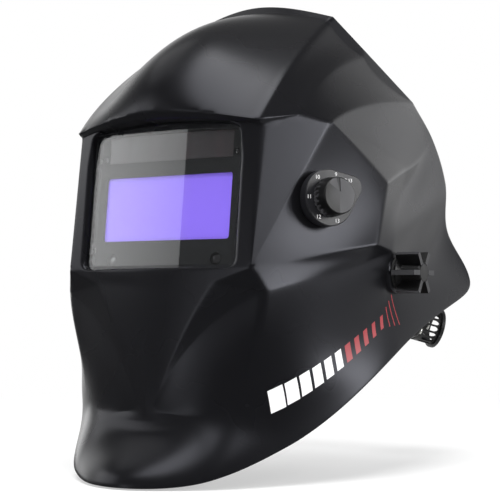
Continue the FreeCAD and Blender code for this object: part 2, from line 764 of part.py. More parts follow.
view_wide = S.cartridge_wide - S.view_margin * 2
solar_wide = S.cartridge_wide - S.solar_margin * 2
front_top = -(S.cover_thick + S.ledge_thick + S.gap)
split = front_top - S.front_thick
back_top = split - S.rear_thick
glass_front = front_top - 1.8
solar_y = S.cartridge_high / 2 - S.solar_high / 2 - 1.8
sensor_high, sensor_low = S.cartridge_wide / 2 - 3.5, S.cartridge_wide / 2 - 14.5
SENSORS = []
for side in (-1, 1):
    SENSORS.append((side * sensor_high, 28.5, 2.2))
    SENSORS.append((side * sensor_low, -38.8, 4.2))

body = new_body("adf_front_housing", LENS)
sketch = new_sketch(body, "XY_Plane", split)
rectangle(sketch, 0, 0, S.cartridge_wide, S.cartridge_high)
pad(body, sketch, S.front_thick)
rounded(body, 4.0, upright)
sketch = new_sketch(body, "XY_Plane", front_top)
rectangle(sketch, 0, -S.view_drop, view_wide, S.view_high)
pocket(body, sketch)
rounded(body, 2.0, lambda e: upright(e) and abs(e.CenterOfMass.x) < N.cartridge_wide / 2 - 4.5)
sketch = new_sketch(body, "XY_Plane", split)
rectangle(sketch, 0, -S.view_drop, view_wide + 4.4, S.view_high + 4.4)
pocket(body, sketch, glass_front + 0.1 - split, up=True)
sketch = new_sketch(body, "XY_Plane", front_top)
rectangle(sketch, 0, solar_y, solar_wide, S.solar_high)
pocket(body, sketch, 1.4)
sketch = new_sketch(body, "XY_Plane", front_top)
for x, y, radius in SENSORS:
    circle(sketch, x, y, radius)
pocket(body, sketch)

body = new_body("filter_glass", LENS)
sketch = new_sketch(body, "XY_Plane", glass_front - S.glass_thick)
rectangle(sketch, 0, -S.view_drop, view_wide + 4, S.view_high + 4)
pad(body, sketch, S.glass_thick)
rounded(body, 0.5, upright)

PANEL = solar_wide / 2 - 0.2
rise = S.solar_high / 2 - 0.2
panel_low, panel_high = solar_y - rise, solar_y + rise
cell = block("panelSheet", (-PANEL, panel_low, front_top - 1.4), (PANEL, panel_high, front_top - 0.4))
CELLS = 6
grooves = []
for i in range(1, CELLS):
    x = PANEL * (2 * i / CELLS - 1)
    low, high = (x - 0.25, panel_low - 1, front_top - 0.6), (x + 0.25, panel_high + 1, front_top)
    grooves.append(block("panelGroove", low, high))
keep(carved("solar_panel", cell, *grooves), "solar_panel", LENS)

domes = []
for x, y, radius in SENSORS:
    x = size(x)
    stem = rod("sensorStem", radius - 0.2, split, front_top - 2.2, x, y)
    cap = DOC.addObject("Part::Cone", "sensorCap")
    cap.Radius1, cap.Radius2, cap.Height = radius - 0.2, radius * 0.55, 1.2
    cap.Placement.Base = Vector(x.value, y, front_top.value - 2.2)
    bind(cap, "Placement.Base.x", x)
    bind(cap, "Placement.Base.z", front_top - 2.2)
    domes.append(joined("sensor", [stem, cap]))
keep(group("arc_sensors", domes), "arc_sensors", LENS)

board_back = split - S.board_thick
parts = [block("boardSheet", (-27.5, 20, board_back), (27.5, 41, split - 0.1))]
for x, wide, high in ((-15, 9, 7), (2, 12, 8), (18, 6, 6)):
    low, high = (x - wide / 2, 30 - high / 2, board_back - 1.0), (x + wide / 2, 30 + high / 2, board_back)
    parts.append(block("chip", low, high))
keep(joined("circuit_board", parts), "circuit_board", LENS)

BAY_X, BAY_Y = S.cartridge_wide / 2 - 13.5, 31.0
body = new_body("adf_rear_housing", LENS)
sketch = new_sketch(body, "XY_Plane", back_top)
rectangle(sketch, 0, 0, S.cartridge_wide, S.cartridge_high)
pad(body, sketch, S.rear_thick)
rounded(body, 4.0, upright)
sketch = new_sketch(body, "XY_Plane", split)
rectangle(sketch, 0, -S.view_drop, view_wide - 2, S.view_high - 2)
pocket(body, sketch)
sketch = new_sketch(body, "XY_Plane", split)
rectangle(sketch, 0, 30.5, 56, 22)
pocket(body, sketch, S.board_thick + 1.4)
sketch = new_sketch(body, "XY_Plane", back_top)
for side in (-1, 1):
    circle(sketch, side * BAY_X, BAY_Y, S.cell_radius + 0.4)
pocket(body, sketch, S.cell_thick + 0.3, up=True)
KNOB_X, KNOB_Y = 30.0, -36.5
sketch = new_sketch(body, "XY_Plane", back_top)
for x in (-KNOB_X, KNOB_X):
    circle(sketch, x, KNOB_Y, 2.0 + S.shaft_gap)
circle(sketch, 0, KNOB_Y, 3.0 + S.shaft_gap)
pocket(body, sketch, 4.0, up=True)
sketch = new_sketch(body, "XY_Plane", back_top)
for y in (S.view_high / 2 + 3.2 - S.view_drop, -(S.view_high / 2 + 3.2 + S.view_drop)):
    rectangle(sketch, 0, y, view_wide - 9, 1.6)
pad(body, sketch, 2.0, down=True)

cells = []
for side in (-1, 1):
    cells.append(rod("cell", S.cell_radius, back_top + 0.1, back_top + S.cell_thick + 0.1, side * BAY_X, BAY_Y))
keep(group("batteries", cells), "batteries", LENS)

trays = []
for side in (-1, 1):
    lid = rod("trayDisc", S.cell_radius + 0.3, back_top - 1.2, back_top - 0.0, side * BAY_X, BAY_Y)
    low, high = (side * BAY_X - 4, BAY_Y - 0.6, back_top - 2), (side * BAY_X + 4, BAY_Y + 0.6, back_top - 0.6)
    slot = block("traySlot", low, high)
    trays.append(carved("tray", lid, slot))
keep(group("battery_trays", trays), "battery_trays", LENS)

body = new_body("inner_cover_lens", LENS)
sketch = new_sketch(body, "XY_Plane", back_top - 1.1)
rectangle(sketch, 0, -S.view_drop, view_wide - 2, S.view_high + 4.4)
pad(body, sketch, 1.0)

for label, x in (("sensitivity_knob", -KNOB_X), ("delay_knob", KNOB_X)):
    body = new_body(label, LENS.multiply(Placement(Vector(x, KNOB_Y, BACK_FACE), Rotation())))
    turned(body, [(0, 3.4), (2.0, 3.4), (2.0, -S.gap), (S.small_knob, -S.gap), (S.small_knob - 0.4, -5.0),
                  (0, -5.0)])
    sketch = new_sketch(body, "XY_Plane", -5.0)
    rectangle(sketch, 0, 2.6, 1.0, 3.2)
    pocket(body, sketch, 0.8, up=True)
    sketch = new_sketch(body, "XY_Plane", -5.0)
    circle(sketch, S.small_knob + 0.35, 0, 0.7)
    polar(body, pocket(body, sketch, 4.7, up=True), sketch, 12)

body = new_body("test_button", LENS.multiply(Placement(Vector(0, KNOB_Y, BACK_FACE), Rotation())))
turned(body, [(0, 2.2), (3.0, 2.2), (3.0, -1.6), (2.6, -2.0), (0, -2.0)])

frame_back = back_top - S.gap - S.frame_thick
frame_front = back_top - S.gap
body = new_body("retaining_frame", LENS)
sketch = new_sketch(body, "XY_Plane", frame_back)
rectangle(sketch, 0, 0, S.cartridge_wide + 9, S.cartridge_high + 5)
pad(body, sketch, S.frame_thick)
rounded(body, 5.0, upright)
sketch = new_sketch(body, "XY_Plane", frame_back)
for y in (-SCREW_Y, SCREW_Y):
    rectangle(sketch, 0, y, 2 * SCREW_X + 8.0, 8.0)
pad(body, sketch, S.frame_thick)
rounded(body, 2.5, lambda e: upright(e) and abs(e.CenterOfMass.x) > SCREW_X + 3.5)
sketch = new_sketch(body, "XY_Plane", frame_back)
rectangle(sketch, 0, 0, S.cartridge_wide + 3, S.cartridge_high + 3)
rectangle(sketch, 0, 0, S.cartridge_wide + 0.8, S.cartridge_high + 0.8)
pad(body, sketch, S.frame_thick + S.gap + S.rear_thick - 1)
sketch = new_sketch(body, "XY_Plane", frame_back)
rectangle(sketch, 0, 0, S.cartridge_wide - 5, S.cartridge_high - 5)
pocket(body, sketch, S.frame_thick, up=True)
sketch = new_sketch(body, "XY_Plane", frame_back)
for x in (-SCREW_X, SCREW_X):
    for y in (-SCREW_Y, SCREW_Y):
        circle(sketch, x, y, 1.6)
pocket(body, sketch, S.frame_thick, up=True)

screws = []
for x in (-SCREW_X, SCREW_X):
    for y in (-SCREW_Y, SCREW_Y):
        head = rod("frameScrewHead", 2.8, frame_back - 1.8, frame_back, x, y)
        shank = rod("frameScrewShank", 1.25, frame_back - 0.1, back_top + 7.0, x, y)
        slots = []
        for wide, high in ((2, 0.3), (0.3, 2)):
            low, high = (x - wide, y - high, frame_back - 2), (x + wide, y + high, frame_back - 1.1)
            slots.append(block("frameScrewDrive", low, high))
        screws.append(carved("frameScrew", joined("frameScrewBlank", [head, shank]), *slots))
keep(group("frame_screws", screws), "frame_screws", LENS)

# ---------------------------------------------------------------- shade dial
dial_plate = DOC.addObject("Part::Feature", "dial_plate")
plate = teardrop(0, 0, N.dial_plate_thick)
rim = [e for e in plate.Edges if e.CenterOfMass.z > N.dial_plate_thick - 0.01]
dial_plate.Shape = plate.makeChamfer(0.6, rim).cut(Part.makeCylinder(N.dial_bush + 0.1, 10, Vector(0, 0, -1)))
keep(dial_plate, "dial_plate", DIAL)

plate_top = S.dial_plate_thick
body = new_body("potentiometer", DIAL)
bush_top = plate_top + 2.9
turned(body, [(S.dial_shaft + S.shaft_gap, bush_top), (S.dial_bush, bush_top), (S.dial_bush, -3.3), (8.2, -3.3),
              (8.2, -12.5), (0, -12.5), (0, -5.0), (S.dial_shaft + S.shaft_gap, -5.0)])
sketch = new_sketch(body, "XY_Plane", -11.0)
rectangle(sketch, -9.0, 0, 5.0, 9.0)
pad(body, sketch, 2.0)

body = new_body("pot_nut", DIAL)
sketch = new_sketch(body, "XY_Plane", plate_top)
NUT_CORNER = 5.8
turns = [math.radians(60 * i) for i in range(6)]
polygon(sketch, [(NUT_CORNER * math.cos(turn), NUT_CORNER * math.sin(turn)) for turn in turns])
circle(sketch, 0, 0, S.dial_bush)
pad(body, sketch, 2.0)

body = new_body("dial_shaft", DIAL)
turned(body, [(0, -4.6), (S.dial_shaft, -4.6), (S.dial_shaft, plate_top + 7.5), (0, plate_top + 7.5)])

knob_base = plate_top + S.gap
knob_top = knob_base + S.dial_knob_height
body = new_body("shade_dial", DIAL)
turned(body, [(0, knob_top), (S.dial_knob_radius - 1.8, knob_top), (S.dial_knob_radius - 1.0, knob_top - 0.8),
              (S.dial_knob_radius, knob_base), (7.0, knob_base), (7.0, plate_top + 3.4),
              (S.dial_shaft, plate_top + 3.4), (S.dial_shaft, plate_top + 7.5), (0, plate_top + 7.5)])
sketch = new_sketch(body, "XY_Plane", knob_base)
circle(sketch, S.dial_knob_radius + 0.75, 0, 1.15)
polar(body, pocket(body, sketch, S.dial_knob_height - 0.8, up=True), sketch, 24)
sketch = new_sketch(body, "XY_Plane", knob_top)
rectangle(sketch, 0, S.dial_knob_radius - 5.8, 0.7, 8.0)
pocket(body, sketch, 0.5)

# ---------------------------------------------------------------- pivots, both sides
INSERT_DEEP = 9.0                                    # brass insert's length in the hand knob
boss_out = S.side_half + 1.2
stop_out = boss_out - 6.0 - S.gap                    # angle stop's outer face
plate_out = stop_out - 3.0                           # side plate's outer face
plate_in = plate_out - S.plate_thick
washer_in = boss_out + S.gap
knob_in = washer_in + 1.5 + S.gap
knob_out = knob_in + S.tension_length
insert_out = knob_in + INSERT_DEEP
band_out = S.band_half + S.band_wall
band_mid = S.band_base + S.band_height / 2
foot_high = S.band_height - 4
FOOT_START, FOOT_END = 12.0, 28.0                    # plate's foot on the headband's arm
for side, place in SIDES.items():
    up = -1 if side == "left" else 1                 # row +Z along the frame's own X
    body = new_body("pivot_bolt_" + side, place)
    turned(body, [(0, plate_in - 3.4), (6.0, plate_in - 3.4), (8.0, plate_in - 1.8), (8.0, plate_in),
                  (S.bolt_radius, plate_in), (S.bolt_radius, insert_out + 2.5), (0, insert_out + 2.5)])

    body = new_body("angle_stop_" + side, place)
    sketch = new_sketch(body, "XY_Plane", plate_out)
    circle(sketch, 0, 0, 12.5)
    circle(sketch, 0, 0, S.bolt_radius)
    pad(body, sketch, 3.0)
    sketch = new_sketch(body, "XY_Plane", plate_out)
    rectangle(sketch, 12.2, 0, 2.4, 2.4)
    polar(body, pocket(body, sketch, 3.0, up=True), sketch, 12)

    body = new_body("friction_washer_" + side, place)
    sketch = new_sketch(body, "XY_Plane", washer_in)
    circle(sketch, 0, 0, 11.4)
    circle(sketch, 0, 0, S.bolt_radius + 0.1)
    pad(body, sketch, 1.5)

    body = new_body("tension_knob_" + side, place)
    bolt_room = S.bolt_radius + S.gap
    turned(body, [(5.6, knob_in), (11.0, knob_in), (11.0, knob_in + 1.2), (6.9, knob_in + 3.0),
                  (6.4, knob_out - 1.0), (5.6, knob_out), (0, knob_out), (0, insert_out + 3.0),
                  (bolt_room, insert_out + 3.0), (bolt_room, insert_out), (5.6, insert_out)])
    sketch = new_sketch(body, "XY_Plane", knob_in)
    rectangle(sketch, 0, (S.tension_radius + 6.0) / 2, S.wing_thick, S.tension_radius - 6.0)
    wing = pad(body, sketch, S.tension_length)
    polar(body, wing, sketch, 6)

    body = new_body("knob_insert_" + side, place)
    bore = S.bolt_radius + S.shaft_gap
    turned(body, [(bore, knob_in + 0.2), (5.6, knob_in + 0.2), (5.6, insert_out), (bore, insert_out)])

    body = new_body("pivot_plate_" + side, HEADGEAR.multiply(place))
    sketch = new_sketch(body, "XY_Plane", plate_in)
    circle(sketch, 0, 0, 13.5)
    pad(body, sketch, S.plate_thick)
    low, high = up * (band_mid - foot_high / 2), up * (band_mid + foot_high / 2)
    sketch = new_sketch(body, "XY_Plane", plate_in)
    polygon(sketch, [(low, FOOT_END), (up * -11.0, 6.0), (up * 10.0, -8.0), (high, FOOT_START),
                     (high, FOOT_END)])
    pad(body, sketch, S.plate_thick)
    sketch = new_sketch(body, "XY_Plane", band_out)
    rectangle(sketch, up * band_mid, (FOOT_START + FOOT_END) / 2, foot_high, FOOT_END - FOOT_START)
    pad(body, sketch, plate_in - band_out)
    sketch = new_sketch(body, "XY_Plane", band_out)
    rectangle(sketch, up * band_mid, (FOOT_START + FOOT_END) / 2, foot_high - 4, FOOT_END - FOOT_START - 4)
    pocket(body, sketch, plate_in - band_out - 2, up=True)
    sketch = new_sketch(body, "XY_Plane", plate_in)
    circle(sketch, 0, 0, S.bolt_radius)
    pocket(body, sketch, S.plate_thick, up=True)


# ---------------------------------------------------------------- headgear
def ellipse_prism(label, along_x, along_y, low, high, y=0.0):
    """Elliptical prism with its half axes along X and Y, centred at y."""
    along_x, along_y, low, high, y = size(along_x), size(along_y), size(low), size(high), size(y)
    wide = along_x.value >= along_y.value
    ring = DOC.addObject("Part::Ellipse", label + "Outline")
    long_axis, short_axis = (along_x, along_y) if wide else (along_y, along_x)
    ring.MajorRadius, ring.MinorRadius = long_axis.value, short_axis.value
    bind(ring, "MajorRadius", long_axis)
    bind(ring, "MinorRadius", short_axis)
    ring.Placement = Placement(Vector(0, y.value, low.value), Rotation(Vector(0, 0, 1), 0 if wide else 90))
    bind(ring, "Placement.Base.y", y)
    bind(ring, "Placement.Base.z", low)
    prism = DOC.addObject("Part::Extrusion", label)
    prism.Base = ring
    prism.DirMode = "Custom"
    prism.Dir = Vector(0, 0, 1)
    prism.LengthFwd = high.value - low.value
    bind(prism, "LengthFwd", high - low)
    prism.Solid = True
    return prism


def oval_wall(label, along_x, along_y, wall, low, high, y=0.0):
    outer = ellipse_prism(label + "Outer", size(along_x) + wall, size(along_y) + wall, low, high, y)
    inner = ellipse_prism(label + "Inner", along_x, along_y, size(low) - 1, size(high) + 1, y)
    return carved(label, outer, inner)


FAR = 200.0
band_low, band_high = S.band_base, S.band_base + S.band_height
oval = oval_wall("bandOval", S.band_half, S.band_front, S.band_wall, band_low, band_high)
front = shared("bandFront", oval, block("bandFrontHalf", (-FAR, -FAR, band_low - 2), (FAR, 0, band_high + 2)))
arms = []
for x in (S.band_half, -band_out):
    arms.append(block("bandArm", (x, 0, band_low), (x + S.band_wall, S.band_arm, band_high)))
PEG, PEG_Y, TRAVEL = 2.4, 45.0, 12.0                  # guide pegs of the sliding rear straps
slot_half = PEG + 0.4
windows = []
for x in (-1, 1):
    windows.append(block("bandSlot", (x * band_out - 4, PEG_Y - TRAVEL - slot_half, band_mid - slot_half),
                         (x * band_out + 4, PEG_Y + TRAVEL + slot_half, band_mid + slot_half)))
keep(carved("headband", joined("bandBlank", [front] + arms), *windows), "headband", HEADGEAR)

pad_out_x, pad_out_y = S.band_half - S.gap - S.pad_thick, S.band_front - S.gap - S.pad_thick
sweat = oval_wall("sweatOval", pad_out_x, pad_out_y, S.pad_thick, band_low - 1, band_high + 1)
sweat_front = block("sweatFront", (-FAR, -FAR, band_low - 4), (FAR, -22, band_high + 4))
keep(shared("sweatband", sweat, sweat_front), "sweatband", HEADGEAR)

# crown straps: two halves of one arch, the left one under the right one, pinned by two pegs
ARCH_Y, CROWN_WALL, LAP = 40.0, 1.3, 16.0
PEG_X = 8.0                                          # crown pegs, each side of the middle
LEG = 9.0                                            # straps' riveted ends on the band's arms
for side, sign, lift in (("left", 1, 0.0), ("right", -1, CROWN_WALL + 0.06)):
    half_strap = S.crown_strap_width / 2
    hoop = oval_wall("crown" + side, band_out, S.crown_rise + lift, CROWN_WALL, -half_strap, half_strap)
    window = ((-LAP, 0, -FAR), (FAR, FAR, FAR)) if sign > 0 else ((-FAR, 0, -FAR), (LAP, FAR, FAR))
    half = shared("crownHalf" + side, hoop, block("crownCut" + side, *window))
    inner, outer = (band_out, band_out + CROWN_WALL) if sign > 0 else (-band_out - CROWN_WALL, -band_out)
    leg = block("crownLeg" + side, (inner, -LEG, -half_strap), (outer, 0.5, half_strap))
    holes = []
    for x in (-PEG_X, PEG_X):
        hole = DOC.addObject("Part::Cylinder", "crownHole" + side)
        hole.Radius, hole.Height = 1.6, 12
        hole.Placement = Placement(Vector(x, N.crown_rise - 6, 0), Rotation(Vector(1, 0, 0), -90))
        holes.append(hole)
    place = HEADGEAR.multiply(Placement(Vector(0, ARCH_Y, band_high.value), Rotation(Vector(1, 0, 0), 90)))
    blank = joined("crownBlank" + side, [half, leg])
    keep(carved("crownStrap" + side, blank, *holes), "crown_strap_" + side, place)

pegs = []
top_of_straps = S.crown_rise + 2 * CROWN_WALL
for x in (-PEG_X, PEG_X):
    stem = rod("pegStem", 1.6, top_of_straps - 3.0, top_of_straps + 0.4, x, 0)
    cap = rod("pegCap", 3.4, top_of_straps + 0.2, top_of_straps + 1.8, x, 0)
    pegs.append(joined("peg", [stem, cap]))
crown_place = HEADGEAR.multiply(Placement(Vector(0, ARCH_Y, N.band_base + N.band_height), Rotation()))
keep(group("crown_pegs", pegs), "crown_pegs", crown_place)

# rear straps, ratchet housing and hand knob
strap_mid = S.band_base + S.band_height / 2
strap_low, strap_high = strap_mid - S.strap_height / 2, strap_mid + S.strap_height / 2
strap_x = S.band_half - 0.4 - S.strap_wall           # inner face of the straps' straight runs
angle = math.radians(N.ratchet_angle)
inner_x = N.band_half - 0.4 - N.strap_wall
mid_x, mid_y = inner_x + N.strap_wall / 2, N.strap_rear + N.strap_wall / 2
seat = Vector(mid_x * math.sin(angle), N.rear_start + mid_y * math.cos(angle), N.band_base + N.band_height / 2)
outward = unit(Vector(math.sin(angle) / mid_x, math.cos(angle) / mid_y, 0))
facing = Rotation(Vector(-outward.y, outward.x, 0), Vector(0, 0, 1), outward, "ZXY")
RATCHET = HEADGEAR.multiply(Placement(seat, facing))
RATCHET_LOCAL = HEADGEAR.inverse().multiply(RATCHET)

pinion_radius = 4.2
for side, sign in (("left", 1), ("right", -1)):
    loop = oval_wall("strapLoop" + side, strap_x, S.strap_rear, S.strap_wall, strap_low, strap_high,
                     S.rear_start)
    # the left strap ends just past the housing, the right one runs round the back to it
    past = Vector(seat.x - 16, 0, 0) if sign > 0 else Vector(seat.x + 16, 0, 0)
    from_x, to_x = (past.x, FAR) if sign > 0 else (-FAR, past.x)
    window = block("strapKeep" + side, (from_x, S.rear_start, -FAR), (to_x, FAR, FAR))
    curve = shared("strapCurve" + side, loop, window)
    start = strap_x if sign > 0 else -(strap_x + S.strap_wall)
    run = block("strapRun" + side, (start, 15, strap_low), (start + S.strap_wall, S.rear_start, strap_high))
    peg = DOC.addObject("Part::Cylinder", "strapPeg" + side)
    peg.Radius, peg.Height = PEG, N.band_wall + 0.4
    peg.Placement = Placement(Vector(sign * (N.band_half - 0.5), PEG_Y, strap_mid.value),
                              Rotation(Vector(0, 1, 0), sign * 90))
    strap = joined("strapBlank" + side, [curve, run, peg])
    # inside the housing each strap narrows to a rack above or below the pinion
    keep_low = strap_mid + pinion_radius + 0.3 if sign > 0 else strap_low - 5
    cut_low, cut_high = (strap_low - 5, strap_mid + 4.6) if sign > 0 else (strap_mid - 4.6, strap_high + 5)
    notch = block("strapNotch" + side, (seat.x - 19, N.rear_start + 20, cut_low), (seat.x + 17, FAR, cut_high))
    teeth = []
    for i in range(-5, 6):
        x = seat.x + 2.8 * i
        edge = strap_mid + 4.6 if sign > 0 else strap_mid - 4.6
        teeth.append(block("rackGap", (x, N.rear_start + 20, edge - 1.2), (x + 1.4, FAR, edge + 1.2)))
    keep(carved("rear_strap_" + side, strap, notch, *teeth), "rear_strap_" + side, HEADGEAR)


def housing_half(label, low, high, fillet_high):
    """Half of the ratchet housing: a rounded block less the way for the two straps."""
    half_w, half_h = N.ratchet_wide / 2, N.ratchet_high / 2
    shape = Part.makeBox(N.ratchet_wide, N.ratchet_high, high - low, Vector(-half_w, -half_h, low))
    shape = shape.makeFillet(7.0, [e for e in shape.Edges if upright(e)])
    rim_edges = [e for e in shape.Edges if abs(e.CenterOfMass.z - (high if fillet_high else low)) < 1e-6]
    shape = placed(shape.makeChamfer(1.5, rim_edges), RATCHET_LOCAL)
    clear = 0.4
    ring = []
    for grow, lift in ((N.strap_wall + clear, 0), (-clear, 1)):
        axes = inner_x + grow, N.strap_rear + grow
        wire = Part.Wire([Part.Ellipse(Vector(0, 0, 0), max(axes), min(axes)).toShape()])
        wire.Placement = Placement(Vector(0, N.rear_start, seat.z - N.strap_height / 2 - clear - lift),
                                   Rotation(Vector(0, 0, 1), 0 if axes[0] > axes[1] else 90))
        ring.append(Part.Face(wire).extrude(Vector(0, 0, N.strap_height + 2 * clear + 2 * lift)))
    way = ring[0].cut(ring[1])
    inner_way = placed(Part.makeCylinder(pinion_radius + 0.8, 6.4, Vector(0, 0, -3.2)), RATCHET_LOCAL)
    bore = placed(Part.makeCylinder(3.0 + N.shaft_gap, 30, Vector(0, 0, 0)), RATCHET_LOCAL)
    shape = shape.cut(way).cut(inner_way).cut(bore)
    holes = [(x, y) for x in (-half_w + 5, half_w - 5) for y in (-half_h + 5, half_h - 5)]
    for x, y in holes:
        hole = Part.makeCylinder(1.3, high - low + 2, Vector(x, y, low - 1 if fillet_high else low + 2))
        shape = shape.cut(placed(hole, RATCHET_LOCAL))
    return shape, holes


half_deep = S.ratchet_deep / 2
for label, low, high in (("ratchet_base", -half_deep.value, 0.0), ("ratchet_cover", 0.0, half_deep.value)):
    housing = DOC.addObject("Part::Feature", label)
    housing.Shape, SCREW_SPOTS = housing_half(label, low, high, high > 0)
    keep(housing, label, HEADGEAR)

screws = []
for x, y in SCREW_SPOTS:
    head = rod("ratchetScrewHead", 2.4, half_deep, half_deep + 1.4, x, y)
    shank = rod("ratchetScrewShank", 1.25, 3 - half_deep, half_deep + 0.2, x, y)
    slot = block("ratchetScrewSlot", (x - 3, y - 0.3, half_deep + 0.7), (x + 3, y + 0.3, half_deep + 2))
    screws.append(carved("ratchetScrew", joined("ratchetScrewBlank", [head, shank]), slot))
keep(group("ratchet_screws", screws), "ratchet_screws", RATCHET)

cage_start = half_deep + 6.0
cage_end = cage_start + S.cage_length
body = new_body("pinion", RATCHET)
turned(body, [(0, -1.4), (3.0, -1.4), (3.0, cage_start + 6.0), (0, cage_start + 6.0)])
sketch = new_sketch(body, "XY_Plane", -1.4)
rectangle(sketch, (pinion_radius + 2.0) / 2, 0, pinion_radius - 2.0, 1.1)
tooth = pad(body, sketch, 2.8)
polar(body, tooth, sketch, 9)

body = new_body("ratchet_knob", RATCHET)
cage_in = S.cage_radius - 1.8
lip = S.cage_radius + 2.0
turned(body, [(3.0, half_deep + S.gap), (6.5, half_deep + S.gap), (6.5, cage_start - 2.0),
              (S.cage_radius, cage_start - 2.0), (S.cage_radius, cage_end), (lip, cage_end), (lip, cage_end + 2.4),
              (cage_in, cage_end + 2.4), (cage_in, cage_start), (5.5, cage_start), (5.5, cage_start + 6.0),
              (3.0, cage_start + 6.0)])
HOLES = 16
sketch = new_sketch(body, "XZ_Plane")
hole_low, hole_high = cage_start + 1.2, cage_end - 1.2
outline = [(1.8, hole_low + 2.4), (1.8, hole_high - 2.4), (1.0, hole_high - 0.6), (0, hole_high)]
outline += [(-x, z) for x, z in outline[2::-1]]
outline += [(-1.0, hole_low + 0.6), (0, hole_low), (1.0, hole_low + 0.6)]
polygon(sketch, outline)
hole = pocket(body, sketch, 40)
flat = new_sketch(body, "XY_Plane")
circle(flat, 0, 0, 1.0)
polar(body, hole, flat, HOLES)

body = new_body("knob_screw", RATCHET)
turned(body, [(0, cage_start + 6.0), (4.4, cage_start + 6.0), (4.4, cage_start + 7.0), (3.4, cage_start + 8.0),
              (0, cage_start + 8.0)])

pad_wall = 6.0
nape = oval_wall("napeOval", strap_x - S.gap - pad_wall, S.strap_rear - S.gap - pad_wall, pad_wall,
                 strap_low - 2, strap_high + 2, S.rear_start)
nape_keep = block("napeKeep", (-58, S.rear_start + 30, -FAR), (seat.x - 27, FAR, FAR))
keep(shared("nape_pad", nape, nape_keep), "nape_pad", HEADGEAR)

# ---------------------------------------------------------------- checks and files
DOC.recompute()
for thing in DOC.Objects:
    if "Invalid" in thing.State or "Error" in thing.State:
        raise RuntimeError("%s (%s) failed: %s" % (thing.Name, thing.Label, thing.State))
for node in NODES:
    if node.Shape.isNull() or not node.Shape.isValid() or not node.Shape.Solids:
        raise RuntimeError("%s has no valid solid" % node.Label)
for node in NODES:
    node.Shape.exportStep("parts/%s.step" % node.Label)
print("%d sub-parts, %d solids" % (len(NODES), sum(len(node.Shape.Solids) for node in NODES)))
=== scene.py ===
"""Looks of an auto-darkening welding helmet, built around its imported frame.

The frame gives every rigid piece its size and place. This script models the moulded
shell as one fine skin, pads the headgear with simulated cloth, prints the dial and the
jaw stripes, and dresses each piece in a material that starts from what the real one is.
"""

from __future__ import annotations

import json
import logging
import math
from dataclasses import dataclass, field
from enum import Enum
from typing import Sequence

import bmesh
import bpy
import numpy as np
from mathutils import Matrix, Quaternion, Vector
from mathutils.bvhtree import BVHTree

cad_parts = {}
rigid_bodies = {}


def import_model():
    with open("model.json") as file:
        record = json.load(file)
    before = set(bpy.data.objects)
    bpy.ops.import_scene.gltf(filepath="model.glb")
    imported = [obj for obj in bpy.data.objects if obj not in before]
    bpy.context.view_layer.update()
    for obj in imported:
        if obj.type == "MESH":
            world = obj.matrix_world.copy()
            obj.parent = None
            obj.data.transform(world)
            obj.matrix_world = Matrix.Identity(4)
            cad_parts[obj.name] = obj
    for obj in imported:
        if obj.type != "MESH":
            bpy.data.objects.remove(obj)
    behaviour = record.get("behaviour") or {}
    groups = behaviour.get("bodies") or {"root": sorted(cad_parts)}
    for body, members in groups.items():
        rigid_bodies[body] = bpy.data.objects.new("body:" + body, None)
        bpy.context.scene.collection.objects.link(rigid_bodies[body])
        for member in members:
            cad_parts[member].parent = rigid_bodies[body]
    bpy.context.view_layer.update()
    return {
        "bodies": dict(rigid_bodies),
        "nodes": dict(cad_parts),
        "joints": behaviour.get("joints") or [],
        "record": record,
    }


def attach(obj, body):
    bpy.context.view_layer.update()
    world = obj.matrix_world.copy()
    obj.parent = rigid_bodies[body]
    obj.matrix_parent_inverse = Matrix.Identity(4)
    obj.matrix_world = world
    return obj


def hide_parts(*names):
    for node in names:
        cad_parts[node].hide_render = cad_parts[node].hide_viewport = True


LOG = logging.getLogger("helmet")
MM = 0.001
WHITE = (1.0, 1.0, 1.0, 1.0)

Point = np.ndarray
Pair = tuple[str, str]
Colour = tuple[float, float, float, float]
Tree = bpy.types.NodeTree
Socket = bpy.types.NodeSocket
Piece = bpy.types.Object
Inputs = dict[str | int, object]


# ------------------------------------------------------------------ small tools
def linear(code: str, gain: float = 1.0, lift: float = 0.0) -> Colour:
    """Turns an sRGB hex colour to linear RGBA, made lighter or darker.

    Args:
        code: colour as "#rrggbb".
        gain: factor on the linear channels.
        lift: amount added to them.

    Returns:
        Linear red, green and blue, and an alpha of one.
    """
    channels = [int(code[i : i + 2], 16) / 255 for i in (1, 3, 5)]
    flat = [c / 12.92 if c <= 0.04045 else ((c + 0.055) / 1.055) ** 2.4 for c in channels]
    red, green, blue = (min(1.0, c * gain + lift) for c in flat)
    return red, green, blue, 1.0


def add(
    tree: Tree, kind: str, inputs: Inputs | None = None, **settings: object
) -> bpy.types.Node:
    """Adds a node with its settings and links.

    Args:
        tree: node tree to add to.
        kind: type of shader node, such as Bump.
        inputs: for each input by name or number, a value, an output socket to link, or a
            node whose first output is linked.
        settings: the node's own properties.

    Returns:
        The new node.
    """
    node = tree.nodes.new("ShaderNode" + kind)
    for name, value in settings.items():
        setattr(node, name, value)
    for name, value in (inputs or {}).items():
        if isinstance(value, bpy.types.Node):
            value = next(socket for socket in value.outputs if socket.enabled)
        if isinstance(value, Socket):
            tree.links.new(value, node.inputs[name])
        else:
            node.inputs[name].default_value = value
    return node


def bare_tree(owner: bpy.types.Material | bpy.types.World | bpy.types.Light) -> Tree:
    """Turns on an owner's nodes and empties them.

    Args:
        owner: the material, world or lamp.

    Returns:
        Its empty node tree.
    """
    owner.use_nodes = True
    owner.node_tree.nodes.clear()
    return owner.node_tree


def add_object(name: str, data: bpy.types.ID) -> Piece:
    """Puts a new object in the scene.

    Args:
        name: name of the object.
        data: its mesh, curve, lamp or camera.

    Returns:
        The new object.
    """
    obj = bpy.data.objects.new(name, data)
    bpy.context.scene.collection.objects.link(obj)
    return obj


